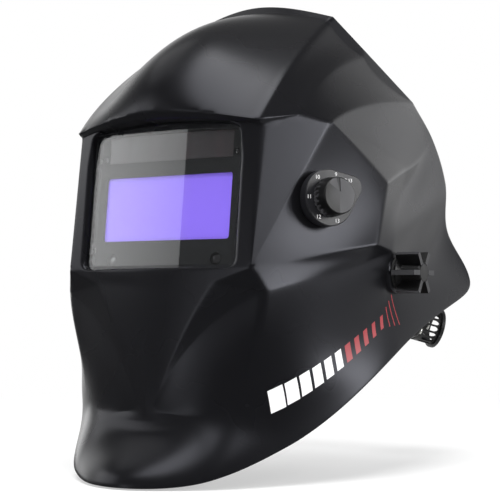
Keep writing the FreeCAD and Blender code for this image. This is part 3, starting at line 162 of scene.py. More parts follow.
def mesh_from(name: str, form: bmesh.types.BMesh) -> bpy.types.Mesh:
    """Turns a form in the making to a smooth-shaded mesh.

    Args:
        name: name of the mesh.
        form: the form, which is freed.

    Returns:
        The new mesh.
    """
    mesh = bpy.data.meshes.new(name)
    form.to_mesh(mesh)
    form.free()
    mesh.shade_smooth()
    return mesh


def modify(obj: Piece, kind: str, **settings: object) -> bpy.types.Modifier:
    """Adds a modifier with its settings.

    Args:
        obj: the object.
        kind: modifier type, such as BEVEL.
        settings: the modifier's own properties.

    Returns:
        The new modifier.
    """
    modifier = obj.modifiers.new(kind.title(), kind)
    for name, value in settings.items():
        setattr(modifier, name, value)
    return modifier


def applied(obj: Piece) -> bpy.types.Mesh:
    """New mesh of an object with all its modifiers applied."""
    graph = bpy.context.evaluated_depsgraph_get()
    return bpy.data.meshes.new_from_object(obj.evaluated_get(graph))


def apply_modifiers(obj: Piece) -> None:
    """Replaces an object's mesh by its mesh with all modifiers applied.

    Args:
        obj: the object.
    """
    mesh = applied(obj)
    obj.modifiers.clear()
    obj.data = mesh


def set_sharp(obj: Piece, degrees: float) -> None:
    """Shades an object smooth except over edges sharper than an angle."""
    obj.data.shade_smooth()
    obj.data.set_sharp_from_angle(angle=math.radians(degrees))


def join(name: str, pieces: Sequence[Piece]) -> Piece:
    """Joins mesh objects into one, keeping their places.

    Args:
        name: name of the joined piece.
        pieces: the objects, which are removed.

    Returns:
        The joined object.
    """
    form = bmesh.new()
    for piece in pieces:
        mesh = applied(piece)
        mesh.transform(piece.matrix_world)
        form.from_mesh(mesh)
        bpy.data.objects.remove(piece)
    return add_object(name, mesh_from(name, form))


def lathe(
    name: str, profile: Sequence[tuple[float, float]], place: Matrix, steps: int = 64
) -> Piece:
    """Turns an outline about the local Z axis.

    Args:
        name: name of the piece.
        profile: (radius, height) points in millimetres, from one end to the other.
        place: where the local frame lies.
        steps: number of sides round the axis.

    Returns:
        The turned object, closed where the outline meets the axis.
    """
    form = bmesh.new()
    rings = []
    for radius, height in profile:
        ring = []
        for k in range(steps):
            turn = 2 * math.pi * k / steps
            spot = Vector((radius * math.cos(turn), radius * math.sin(turn), height))
            ring.append(form.verts.new(place @ spot * MM))
        rings.append(ring)
    for low, high in zip(rings, rings[1:]):
        for k in range(steps):
            n = (k + 1) % steps
            form.faces.new((low[k], low[n], high[n], high[k]))
    bmesh.ops.remove_doubles(form, verts=form.verts, dist=1e-6)
    bmesh.ops.recalc_face_normals(form, faces=form.faces)
    return add_object(name, mesh_from(name, form))


def frame_at(origin: Sequence[float], across: Sequence[float], out: Sequence[float]) -> Matrix:
    """Makes a local frame.

    Args:
        origin: its origin in millimetres.
        across: direction of its X axis.
        out: direction of its Z axis.

    Returns:
        The frame as a matrix.
    """
    z = Vector(out).normalized()
    x = Vector(across).normalized()
    place = Matrix((x, z.cross(x), z)).transposed().to_4x4()
    place.translation = Vector(origin)
    return place


def direction(azimuth: float, height: float) -> Vector:
    """Finds a direction as seen from the object.

    Args:
        azimuth: degrees round from the front towards the wearer's left.
        height: degrees above the horizon.

    Returns:
        A vector of length one.
    """
    a, e = math.radians(azimuth), math.radians(height)
    return Vector((math.sin(a) * math.cos(e), -math.cos(a) * math.cos(e), math.sin(e)))


def unit(vector: Point) -> Point:
    """Vector of length one."""
    return vector / np.linalg.norm(vector)


def bernstein(t: np.ndarray) -> np.ndarray:
    """Cubic Bernstein weights at each t."""
    return np.stack([(1 - t) ** 3, 3 * t * (1 - t) ** 2, 3 * t * t * (1 - t), t**3], axis=-1)


def bezier(poles: Sequence[Point], t: np.ndarray) -> np.ndarray:
    """Points of a cubic curve at each t."""
    return bernstein(t) @ np.array(poles)


def resample(line: np.ndarray, steps: int) -> np.ndarray:
    """Finds points at even distances along a line.

    Args:
        line: points of the line, one per row.
        steps: number of even steps.

    Returns:
        steps + 1 points.
    """
    spans = np.linalg.norm(np.diff(line, axis=0), axis=1)
    lengths = np.concatenate([[0], np.cumsum(spans)])
    wanted = np.linspace(0, lengths[-1], steps + 1)
    return np.stack([np.interp(wanted, lengths, line[:, k]) for k in range(line.shape[1])], -1)


def per_metre(size_mm: float) -> float:
    """Scale of a texture whose pattern repeats about every so many millimetres."""
    return 1 / (size_mm * MM)


# ------------------------------------------------------------------ finishes
@dataclass(frozen=True)
class Finish:
    """What a surface is made of and how it was made, as a procedural material."""

    name: str
    colour: str

    def surface(self, tree: Tree, place: Socket) -> Inputs:
        """Adds the finish's own nodes.

        Args:
            tree: the material's tree.
            place: coordinates on the object, in metres.

        Returns:
            The shader's inputs.
        """
        raise NotImplementedError

    def material(self) -> bpy.types.Material:
        """Builds the material.

        Returns:
            The material, with its constants on the shader's own sockets.
        """
        made = bpy.data.materials.new(self.name)
        tree = bare_tree(made)
        place = add(tree, "TexCoord").outputs["Object"]
        shader = add(tree, "BsdfPrincipled", self.surface(tree, place))
        add(tree, "OutputMaterial", {"Surface": shader})
        return made


@dataclass(frozen=True)
class MouldedPlastic(Finish):
    """Injection-moulded plastic with the spark-eroded grain of its mould.

    The grain breaks the gloss into a soft sheen, and a slow drift of gloss shows where
    the melt flowed. Real grain is about 0.1 mm, and is drawn coarser so that it shows.
    """

    roughness: float = 0.42
    grain_mm: float = 0.35
    grain_depth: float = 0.08
    drift_mm: float = 60.0
    drift: float = 0.05
    coat: float = 0.0
    coat_roughness: float = 0.2
    wear: float = 0.0
    specular: float = 0.5
    glint: str = "#ffffff"
    rubbed: str = "#8a8a90"
    ior: float = 1.53

    def surface(self, tree: Tree, place: Socket) -> Inputs:
        """Adds the grain, the flow marks and the rubbed edges.

        Args:
            tree: the material's tree.
            place: coordinates on the object, in metres.

        Returns:
            The shader's inputs.
        """
        grain = add(tree, "TexNoise",
                    {"Vector": place, "Scale": per_metre(self.grain_mm), "Detail": 2.0})
        flow = add(tree, "TexNoise",
                   {"Vector": place, "Scale": per_metre(self.drift_mm), "Detail": 3.0})
        gloss = add(tree, "MapRange",
                    {"Value": flow, "From Min": 0.3, "From Max": 0.7,
                     "To Min": self.roughness - self.drift, "To Max": self.roughness + self.drift},
                    interpolation_type="SMOOTHSTEP")
        bump = add(tree, "Bump",
                   {"Height": grain, "Strength": self.grain_depth, "Distance": self.grain_mm * MM})
        colour = add(tree, "Mix",
                     {"Factor": flow, "A": linear(self.colour),
                      "B": linear(self.colour, gain=1.25, lift=0.001)}, data_type="RGBA")
        if self.wear:
            edges = add(tree, "NewGeometry").outputs["Pointiness"]
            worn = add(tree, "MapRange",
                       {"Value": edges, "From Min": 0.53, "From Max": 0.6, "To Max": self.wear})
            colour = add(tree, "Mix",
                         {"Factor": worn, "A": colour, "B": linear(self.rubbed)}, data_type="RGBA")
        return {"Base Color": colour, "Roughness": gloss, "Normal": bump, "IOR": self.ior,
                "Coat Weight": self.coat, "Coat Roughness": self.coat_roughness,
                "Specular IOR Level": self.specular, "Specular Tint": linear(self.glint)}


@dataclass(frozen=True)
class ClearSheet(Finish):
    """Polycarbonate sheet, polished and hard-coated, so it mirrors the lamps sharply."""

    colour: str = "#f4f7f8"
    ior: float = 1.586
    smear_mm: float = 22.2
    smear: float = 0.012

    def surface(self, tree: Tree, place: Socket) -> Inputs:
        """Adds faint smears from wiping.

        Args:
            tree: the material's tree.
            place: coordinates on the object, in metres.

        Returns:
            The shader's inputs.
        """
        smears = add(tree, "TexNoise",
                     {"Vector": place, "Scale": per_metre(self.smear_mm), "Detail": 4.0})
        gloss = add(tree, "MapRange",
                    {"Value": smears, "From Min": 0.5, "From Max": 0.8, "To Max": self.smear})
        return {"Base Color": linear(self.colour), "Roughness": gloss,
                "Transmission Weight": 1.0, "IOR": self.ior}


@dataclass(frozen=True)
class CoatedFilter(Finish):
    """Welding filter glass under a violet interference coating, which mirrors ultraviolet.

    The coated front throws back a strong even blue violet, paler where the lamp meets it.
    The bare back shows the dark green of the glass.
    """

    back: str = "#16301c"
    roughness: float = 0.35
    metallic: float = 0.1
    coat: float = 0.6
    coat_roughness: float = 0.03
    cloud_mm: float = 55.6

    def surface(self, tree: Tree, place: Socket) -> Inputs:
        """Adds the coating's faint clouds and the bare back.

        Args:
            tree: the material's tree.
            place: coordinates on the object, in metres.

        Returns:
            The shader's inputs.
        """
        cloud = add(tree, "TexNoise",
                    {"Vector": place, "Scale": per_metre(self.cloud_mm), "Detail": 2.0})
        front = add(tree, "Mix",
                    {"Factor": cloud, "A": linear(self.colour),
                     "B": linear(self.colour, gain=1.08)},
                    data_type="RGBA")
        facing = add(tree, "TexCoord").outputs["Normal"]
        depth = add(tree, "SeparateXYZ", {"Vector": facing}).outputs["Y"]
        behind = add(tree, "MapRange", {"Value": depth, "From Min": -0.1, "From Max": 0.1})
        both = add(tree, "Mix", {"Factor": behind, "A": front, "B": linear(self.back)},
                   data_type="RGBA")
        return {"Base Color": both, "Metallic": self.metallic, "Roughness": self.roughness,
                "Coat Weight": self.coat, "Coat Roughness": self.coat_roughness}


@dataclass(frozen=True)
class SolarCell(Finish):
    """Amorphous silicon strip behind its own film: dark plum with a fine line between cells."""

    colour: str = "#1d1418"
    line: str = "#2a1a20"
    cell_mm: float = 25.5
    roughness: float = 0.25
    coat: float = 0.3
    coat_roughness: float = 0.05

    WAVE_PERIOD = math.tau / 20  # the texture's own period at a scale of one

    def surface(self, tree: Tree, place: Socket) -> Inputs:
        """Adds the lines between the cells.

        Args:
            tree: the material's tree.
            place: coordinates on the object, in metres.

        Returns:
            The shader's inputs.
        """
        scale = self.WAVE_PERIOD * per_metre(self.cell_mm)
        wave = add(tree, "TexWave", {"Vector": place, "Scale": scale, "Distortion": 0.0},
                   bands_direction="X").outputs["Fac"]
        thin = add(tree, "MapRange", {"Value": wave, "From Min": 0.9, "From Max": 0.97})
        tint = add(tree, "Mix",
                   {"Factor": thin, "A": linear(self.colour), "B": linear(self.line)},
                   data_type="RGBA")
        return {"Base Color": tint, "Roughness": self.roughness,
                "Coat Weight": self.coat, "Coat Roughness": self.coat_roughness}


@dataclass(frozen=True)
class Metal(Finish):
    """Turned or plated metal with the fine rings or grain that its making left."""

    roughness: float = 0.28
    grain_mm: float = 0.25
    smoother: float = 0.08
    rougher: float = 0.1

    def surface(self, tree: Tree, place: Socket) -> Inputs:
        """Adds the grain.

        Args:
            tree: the material's tree.
            place: coordinates on the object, in metres.

        Returns:
            The shader's inputs.
        """
        grain = add(tree, "TexNoise",
                    {"Vector": place, "Scale": per_metre(self.grain_mm), "Detail": 3.0})
        gloss = add(tree, "MapRange",
                    {"Value": grain, "To Min": self.roughness - self.smoother,
                     "To Max": self.roughness + self.rougher})
        bump = add(tree, "Bump",
                   {"Height": grain, "Strength": 0.12, "Distance": self.grain_mm * MM * 0.3})
        return {"Base Color": linear(self.colour), "Metallic": 1.0, "Roughness": gloss,
                "Normal": bump}


@dataclass(frozen=True)
class Towelling(Finish):
    """Knitted cotton towelling over foam: rows of small loops with a soft sheen."""

    loop_mm: float = 1.6
    fuzz_mm: float = 0.4
    roughness: float = 0.95
    sheen: float = 0.35
    sheen_roughness: float = 0.5

    def surface(self, tree: Tree, place: Socket) -> Inputs:
        """Adds the loops and their fuzz.

        Args:
            tree: the material's tree.
            place: coordinates on the object, in metres.

        Returns:
            The shader's inputs.
        """
        loops = add(tree, "TexVoronoi", {"Vector": place, "Scale": per_metre(self.loop_mm)})
        fuzz = add(tree, "TexNoise",
                   {"Vector": place, "Scale": per_metre(self.fuzz_mm), "Detail": 4.0})
        height = add(tree, "Math", {0: loops, 1: fuzz, 2: fuzz}, operation="MULTIPLY_ADD")
        bump = add(tree, "Bump",
                   {"Height": height, "Strength": 0.7, "Distance": self.loop_mm * MM * 0.4})
        tint = add(tree, "Mix",
                   {"Factor": loops, "A": linear(self.colour, gain=1.9),
                    "B": linear(self.colour, gain=0.6)}, data_type="RGBA")
        return {"Base Color": tint, "Normal": bump, "Roughness": self.roughness,
                "Sheen Weight": self.sheen, "Sheen Roughness": self.sheen_roughness}


@dataclass(frozen=True)
class PrintedInk(Finish):
    """Screen-printed ink: a thin flat film whose cover is not quite even."""

    film_mm: float = 1.11
    roughness: float = 0.4

    def surface(self, tree: Tree, place: Socket) -> Inputs:
        """Adds the uneven cover.

        Args:
            tree: the material's tree.
            place: coordinates on the object, in metres.

        Returns:
            The shader's inputs.
        """
        film = add(tree, "TexNoise",
                   {"Vector": place, "Scale": per_metre(self.film_mm), "Detail": 2.0})
        tint = add(tree, "Mix",
                   {"Factor": film, "A": linear(self.colour, gain=0.93), "B": linear(self.colour)},
                   data_type="RGBA")
        return {"Base Color": tint, "Roughness": self.roughness}


FINISHES: dict[str, Finish] = {
    # glass-filled nylon from a fine-grained mould: a deep satin black
    "shell_black": MouldedPlastic("satin_nylon_black", "#0e0e10", 0.28, 0.5, 0.03, 90.0, 0.02,
                                  specular=0.18, glint="#f0f2ff"),
    # polished hard-coated sheet: clear, with sharp reflections
    "lens_clear": ClearSheet("polycarbonate_clear"),
    # coated glass: an even violet that seems to glow
    "filter_green": CoatedFilter("filter_violet_coat", "#8767ee"),
    # ABS from an etched mould: matt, with next to no glint
    "housing_black": MouldedPlastic("abs_matt_black", "#0e0f11", 0.5, 0.4, 0.12, specular=0.12),
    # coated film: dark and glossy
    "solar_cell": SolarCell("silicon_plum"),
    # polished tinted acrylic domes: small sharp glints
    "sensor_dark": MouldedPlastic("sensor_tinted", "#0c0a0e", 0.08, 1.0, 0.0, 20.0, 0.01,
                                  coat=1.0, coat_roughness=0.03),
    # cured solder mask: a wavy green gloss
    "board_green": MouldedPlastic("solder_mask_green", "#12552c", 0.3, 2.0, 0.1),
    # zinc plate on turned or pressed steel: bright and cool
    "steel_plain": Metal("zinc_plated_steel", "#b9b9b4"),
    # brass turned on a lathe: warm and fairly bright
    "brass_plain": Metal("turned_brass", "#c8a24a", 0.22),
    # nylon knobs, handled often: satin, paler along rubbed edges
    "knob_grey": MouldedPlastic("nylon_knob_black", "#0c0c0d", 0.42, 0.45, 0.1, 25.0, 0.05,
                                wear=0.15, specular=0.25),
    # ABS moulded in colour: an even red with a low gloss
    "button_red": MouldedPlastic("abs_red", "#9c1a1c", 0.35, 0.5, 0.04),
    # ABS from a finer mould than the knob's: a shade lighter than the shell
    "dial_black": MouldedPlastic("abs_satin_grey_black", "#1c1c1f", 0.36, 0.5, 0.04, 30.0, 0.03,
                                 specular=0.25),
    # flexible polyethylene bands: waxy, with slow changes of gloss
    "band_black": MouldedPlastic("polyethylene_black", "#111112", 0.45, 0.8, 0.1, 40.0, 0.08,
                                 specular=0.3),
    # cotton loops over foam: soft, with no gloss at all
    "pad_black": Towelling("towelling_black", "#1d1d21"),
    # cut rubber sheet: dull and dark
    "friction_rubber": MouldedPlastic("rubber_black", "#121212", 0.75, 0.3, 0.2),
}
INK_WHITE = PrintedInk("ink_white", "#e9e9ea")
INK_RED = PrintedInk("ink_red", "#8f1822")


# ------------------------------------------------------------------ shell
class Side(Enum):
    """Sides of the helmet, by the sign of X."""

    LEFT = 1
    RIGHT = -1


@dataclass
class ShellNet:
    """Net of creases and cubic patches that gives the moulded shell its form.

    Sizes are in millimetres from the pivots' midpoint. The net describes the wearer's
    left half, and the right half mirrors it.
    """

    face_half: float = 71.0
    brow_reach: float = 118.0
    brow_height: float = 92.5
    crown_half: float = 59.0
    crown_run: float = 117.0
    crown_height: float = 187.0
    rear_reach: float = 100.0
    side_half: float = 111.5
    pod_reach: float = 29.0
    flare_half: float = 118.0
    chin_reach: float = 156.0
    chin_drop: float = 130.0
    nose_reach: float = 123.0
    window_base: float = 2.0
    spacing: float = 2.6
    corners: dict[str, Point] = field(init=False)
    curves: dict[Pair, list[Point]] = field(init=False, default_factory=dict)

    PATCHES = (
        ("brow_mid", "brow_side", "crest_side", "crest_mid"),
        ("brow_side", "temple_low", "crest_low", "crest_side"),
        ("temple_low", "temple", "ear", "crest_low"),
        ("crest_mid", "crest_side", "rim_side", "rim_mid"),
        ("crest_side", "crest_low", "rim_low", "rim_side"),
        ("crest_low", "ear", "rim_low"),
        ("soffit_mid", "soffit_side", "brow_side", "brow_mid"),
        ("brow_side", "soffit_side", "temple_low"),
        ("temple_low", "soffit_side", "surround_low"),
        ("temple", "temple_low", "surround_low"),
        ("surround_mid", "surround_low", "soffit_side", "soffit_mid"),
        ("keel_top", "keel_side", "surround_low", "surround_mid"),
        ("pod_top", "pod_back", "temple"),
        ("pod_low", "pod_heel", "pod_back", "pod_top"),
        ("surround_low", "pod_low", "pod_top", "temple"),
        ("cheek", "pod_heel", "pod_low", "surround_low"),
        ("keel_side", "cheek", "surround_low"),
        ("cheek", "keel_side", "keel_tip"),
        ("keel_end", "keel_tip", "keel_side", "keel_top"),
        ("waist_mid", "waist_front", "keel_tip", "keel_end"),
        ("waist_front", "waist_cheek", "cheek", "keel_tip"),
        ("waist_cheek", "waist_side", "pod_heel", "cheek"),
        ("waist_side", "rear_low", "rear_mid", "pod_heel"),
        ("chin", "rim_front", "waist_front", "waist_mid"),
        ("rim_front", "rim_cheek", "waist_cheek", "waist_front"),
        ("rim_cheek", "rim_jaw", "waist_side", "waist_cheek"),
        ("rim_jaw", "lobe", "rear_low", "waist_side"),
        ("temple", "pod_back", "rear_high", "ear"),
        ("pod_heel", "rear_mid", "rear_high", "pod_back"),
    )
    # smooth chains of corners, with the direction at the first and at the last
    FLOWS = (
        (("brow_mid", "brow_side"), (1, 0, 0), None),
        (("soffit_mid", "soffit_side"), (1, 0, 0), None),
        (("crest_mid", "crest_side"), (1, 0, 0), None),
        (("rim_mid", "rim_side"), (1, 0, 0), None),
        (("keel_top", "keel_side"), (1, 0, 0), None),
        (("brow_mid", "crest_mid"), (0, 0.18, 1), (0, 1, 0.22)),
        (("surround_mid", "surround_low"), (1, 0, 0), (0.97, 0.12, 0)),
        (("keel_end", "waist_mid", "chin"), (0, 0, -1), (0, -0.1, -1)),
        (("keel_tip", "waist_front", "rim_front"), (0.6, 0, -0.6), (0, -0.2, -1)),
        (("cheek", "waist_cheek", "rim_cheek"), (-0.05, 0, -1), (0.1, -0.1, -1)),
        (("pod_heel", "waist_side", "rim_jaw"), (0, -0.1, -1), (0.15, -0.1, -1)),
        (("pod_back", "pod_heel"), (0.05, -0.6, -1), (0.05, -0.5, -1)),
        (("waist_mid", "waist_front", "waist_cheek", "waist_side", "rear_low"),
         (1, 0, 0), (-0.05, 1, 0.75)),
        (("chin", "rim_front", "rim_cheek", "rim_jaw"), (1, 0, 0), (0.04, 0.9, 0.45)),
        (("ear", "rear_high", "rear_mid", "rear_low", "lobe"), (0.3, 0.6, -1), (0.06, 0.25, -1)),
        (("pod_back", "rear_high"), (-0.15, 1, 0.2), None),
        (("pod_heel", "rear_mid"), (-0.1, 1, 0.25), None),
    )
    # how far an edge's inner poles stand off the straight line between its corners
    BOWS = {
        ("brow_side", "crest_side"): ((4, -13.5, 0), (4, -13.5, 0)),
        ("temple_low", "crest_low"): ((1.5, -19, 2.5), (0.5, -12.5, 6)),
        ("temple", "ear"): ((1.5, -19.5, 3), (0.5, -5.5, 7)),
        ("crest_side", "crest_low"): ((0, -2, -3.5), (0, -2, -3.5)),
        ("crest_low", "ear"): ((-0.5, -13.5, -2), (-0.5, -13.5, -2)),
        ("temple", "pod_back"): ((-2, 6, 3.5), (-2, 6, 3.5)),
        ("temple", "pod_top"): ((-0.5, 5, -0.5), (-0.5, 5, -0.5)),
        ("keel_side", "keel_tip"): ((-0.5, 0, 7.5), (-3, -1, 3)),
        ("cheek", "keel_tip"): ((-8.5, -1.5, 13), (-8.5, -4, 7)),
        ("cheek", "pod_heel"): ((0.6, -3.5, -1.9), (1.1, -5, -2.4)),
        ("rim_jaw", "lobe"): ((1.5, 29.5, 17), (1.5, 36.5, 1.5)),
    }
    STRAIGHT = ((0, 0, 0), (0, 0, 0))
    PULL = 1 / 3  # distance of an inner pole from its corner, as a share of the edge
    DOME_PULL = 0.36
    DOME = ("brow_mid", "crest_mid")

    def __post_init__(self) -> None:
        """Works out the corners and curves from the sizes."""
        self.corners = self.make_corners()
        self.make_curves()

    def make_corners(self) -> dict[str, Point]:
        """Places every named corner of the net.

        Returns:
            Each corner's point by its name.
        """
        face, brow, height = self.face_half, self.brow_reach, self.brow_height
        crown, back, top = self.crown_half, self.crown_run - self.brow_reach, self.crown_height
        side, flare, rear, pod = self.side_half, self.flare_half, self.rear_reach, self.pod_reach
        chin, drop, nose, base = self.chin_reach, self.chin_drop, self.nose_reach, self.window_base
        places = {
            "brow_mid": (0, -brow, height + 8),
            "brow_side": (face, 14 - brow, height),
            "soffit_mid": (0, 4 - brow, height + 3.8),
            "soffit_side": (face, 17.5 - brow, height - 2.5),
            "temple_low": (face + 13, 42 - brow, height + 5),
            "temple": (face + 24, 61.5 - brow, height + 2),
            "surround_low": (face, 6 - brow, base),
            "keel_side": (face - 25.5, 2.7 - brow, base - 9.7),
            "cheek": (face + 6, 12.5 - brow, base - 15),
            "keel_top": (0, -1 - brow, base - 12),
            "surround_mid": (0, -0.6 - brow, base - 3),
            "keel_tip": (6, -nose, -83),
            "keel_end": (0, -nose - 0.8, -84.5),
            "crest_mid": (0, back, top - 5),
            "crest_side": (crown, back + 2, top - 16),
            "crest_low": (crown + 12, back + 30, top - 37),
            "ear": (crown + 23, back + 84, top - 63.5),
            "rim_mid": (0, back + 4, top),
            "rim_side": (crown + 1, back + 8, top - 12),
            "rim_low": (crown + 11.5, back + 35, top - 33),
            "pod_top": (side - 1.5, 20 - pod, 58),
            "pod_back": (side - 9.9, 62.7 - pod, 70.3),
            "pod_low": (side + 1.5, -pod, 17),
            "pod_heel": (side + 1.6, 19.5 - pod, 13.4),
            "rear_high": (side - 20.5, rear - 5, 99),
            "rear_mid": (side - 11.5, rear - 2, 67),
            "rear_low": (side - 5.5, rear - 12, 32),
            "lobe": (flare, rear, -4),
            "rim_jaw": (flare - 3, 26 - pod, -50),
            "rim_cheek": (flare - 37, 66 - chin, 22 - drop),
            "rim_front": (48, 24 - chin, 3 - drop),
            "chin": (0, -chin, -drop),
            "waist_mid": (0, -nose - 1.5, -93),
            "waist_front": (30, 2.5 - nose, -91),
            "waist_cheek": (65, 20 - nose, -80),
            "waist_side": (side - 3.5, 18 - pod, -25),
        }
        return {name: np.array(place, float) for name, place in places.items()}

    def flow(
        self, names: Sequence[str], start: Sequence[float], end: Sequence[float] | None
    ) -> None:
        """Adds a smooth chain of cubic curves through named corners.

        Args:
            names: corners in order.
            start: direction at the first corner.
            end: direction at the last corner, or None where the end is free.
        """
        points = [self.corners[name] for name in names]
        tangents: list[Point | None] = [unit(np.array(start, float))]
        for before, here, after in zip(points, points[1:], points[2:]):
            near, far = here - before, after - here
            lean = unit(near) * np.linalg.norm(far) + unit(far) * np.linalg.norm(near)
            tangents.append(unit(lean))
        tangents.append(unit(np.array(end, float)) if end else None)
        for i, (one, two) in enumerate(zip(names, names[1:])):
            a, b = points[i], points[i + 1]
            share = self.DOME_PULL if (one, two) == self.DOME else self.PULL
            pull = np.linalg.norm(b - a) * share
            first = a + tangents[i] * pull
            free = tangents[i + 1] is None
            second = b + (first - b) / 2 if free else b - tangents[i + 1] * pull
            self.curves[one, two] = [a, first, second, b]

    def make_curves(self) -> None:
        """Builds every patch edge as four poles."""
        for names, start, end in self.FLOWS:
            self.flow(names, start, end)
        for patch in self.PATCHES:
            for one, two in zip(patch, patch[1:] + patch[:1]):
                if (one, two) in self.curves or (two, one) in self.curves:
                    continue
                pair = (one, two) if (one, two) in self.BOWS else (two, one)
                bows = [np.array(bow, float) for bow in self.BOWS.get(pair, self.STRAIGHT)]
                a, b = self.corners[pair[0]], self.corners[pair[1]]
                self.curves[pair] = [a, a + (b - a) / 3 + bows[0], b - (b - a) / 3 + bows[1], b]

    def edge(self, one: str, two: str) -> list[Point]:
        """Poles of the edge from one corner to another."""
        return self.curves[one, two] if (one, two) in self.curves else self.curves[two, one][::-1]

    def key(self, one: str, two: str) -> Pair:
        """Name of the edge between two corners, whichever way it is asked for."""
        return (one, two) if (one, two) in self.curves else (two, one)

    def counts(self) -> dict[Pair, int]:
        """Shares out steps so that opposite sides of each patch have as many.

        Returns:
            Number of steps along every edge.
        """
        parent = {pair: pair for pair in self.curves}

        def root(pair: Pair) -> Pair:
            """Finds the edge that stands for a group.

            Args:
                pair: an edge of the group.

            Returns:
                The edge that stands for it.
            """
            while parent[pair] != pair:
                pair = parent[pair]
            return pair

        for patch in self.PATCHES:
            a, b, c = patch[:3]
            matches = (((a, c), (b, c)),)
            if len(patch) == 4:
                matches = (((a, b), (patch[3], c)), ((b, c), (a, patch[3])))
            for first, second in matches:
                parent[root(self.key(*first))] = root(self.key(*second))
        longest: dict[Pair, float] = {}
        for pair, poles in self.curves.items():
            line = bezier(poles, np.linspace(0, 1, 17))
            length = float(np.linalg.norm(np.diff(line, axis=0), axis=1).sum())
            longest[root(pair)] = max(longest.get(root(pair), 0.0), length)
        return {pair: max(4, round(longest[root(pair)] / self.spacing)) for pair in self.curves}

    def poles(self, patch: tuple[str, ...]) -> np.ndarray:
        """Fills a patch from its edges; one of three corners closes to a point at the last.

        Args:
            patch: the patch's corners in order.

        Returns:
            Grid of 4 by 4 poles.
        """
        a, b, c = patch[:3]
        low, right = self.edge(a, b), self.edge(b, c)
        if len(patch) == 4:
            left, high = self.edge(a, patch[3]), self.edge(patch[3], c)
        else:
            left, high = self.edge(a, c), [right[3]] * 4
        grid = np.zeros((4, 4, 3))
        for i in range(4):
            grid[i, 0], grid[i, 3], grid[0, i], grid[3, i] = low[i], high[i], left[i], right[i]
        for i in (1, 2):
            for j in (1, 2):
                u, v = i // 2 * 3, j // 2 * 3
                if len(patch) == 4:
                    grid[i, j] = grid[i, v] + grid[u, j] - grid[u, v]
                else:
                    across = left[j] * (1 - i / 3) + right[j] * (i / 3)
                    swell = low[i] - (low[0] * (1 - i / 3) + low[3] * (i / 3))
                    grid[i, j] = across + swell * (1 - j / 3)
        return grid

    def surface(self, patch: tuple[str, ...], u: np.ndarray, v: np.ndarray) -> np.ndarray:
        """Points of a patch at every u and v, as a grid."""
        return np.einsum("ia,jb,abk->ijk", bernstein(u), bernstein(v), self.poles(patch))


@dataclass
class Window:
    """Window opening in the shell, in the frame of the leaning cover lens."""

    lean: float = 6.4
    reach: float = 104.6
    rise: float = 46.6
    half: float = 58.5
    low: float = 45.5
    high: float = 44.2
    arch: float = 3.5
    rounding: float = 6.0
    seat: float = -1.5
    ledge: float = 3.0
    ledge_thick: float = 2.0
    lip: float = 0.9
    side_lip: float = 2.2

    SIDE_FROM, SIDE_RUN = 0.85, 0.13  # shares of the half width over which the side lip grows
    TOP_FROM, TOP_RUN = 6.0, 14.0  # distances below the top over which it grows
    CORNER_POINTS = 7  # on half a rounded corner
    LINE_POINTS = 24  # on a side or on the arched top

    def side_share(self, x: float, y: float) -> float:
        """How far a point counts as the side of the opening, from 0 to 1."""
        across = min(1.0, max(0.0, (abs(x) / self.half - self.SIDE_FROM) / self.SIDE_RUN))
        return across * min(1.0, max(0.0, (self.high - self.TOP_FROM - y) / self.TOP_RUN))

    @property
    def place(self) -> Matrix:
        """Works out the frame of the lens.

        Returns:
            The frame in millimetres: X across, Y up the lens, Z outwards.
        """
        turn = Matrix.Rotation(math.radians(90 - self.lean), 4, "X")
        turn.translation = Vector((0, -self.reach, self.rise))
        return turn

    def outline(self, grow: float, steps: Sequence[int]) -> np.ndarray:
        """Half of the opening's outline, from the middle of the base to the middle of the top.

        Args:
            grow: distance that the outline stands outside the opening.
            steps: steps along the base up to the middle of the lower corner, up the side,
                and along the arched top.

        Returns:
            Points (x, y), one more than all the steps.
        """
        r = self.rounding + grow
        half, low, high = self.half + grow, self.low + grow, self.high + grow
        radius = (half**2 + self.arch**2) / (2 * self.arch)
        turn = np.radians(np.linspace(0, 45, self.CORNER_POINTS))
        far, near = half - r + r * np.cos(turn), half - r + r * np.sin(turn)
        corner = np.stack([near, -low + r - r * np.cos(turn)], -1)
        base = np.vstack([[0, -low], corner])
        up = np.stack([far[::-1], -low + r - r * np.sin(turn[::-1])], -1)
        down = np.stack([far, high - r + r * np.sin(turn)], -1)
        rise = np.linspace(-low + r, high - r, self.LINE_POINTS)
        middle = np.stack([np.full(self.LINE_POINTS, half), rise], -1)
        side = np.vstack([up, middle[1:-1], down])
        over = np.stack([near[::-1], high - r + r * np.cos(turn[::-1])], -1)
        xs = np.linspace(half - r, 0, self.LINE_POINTS)[1:]
        lift = np.sqrt(radius**2 - xs**2) - math.sqrt(radius**2 - half**2)
        top = np.vstack([over, np.stack([xs, high + lift], -1)])
        parts = [resample(line, count) for line, count in zip((base, side, top), steps)]
        return np.vstack([parts[0], parts[1][1:], parts[2][1:]])


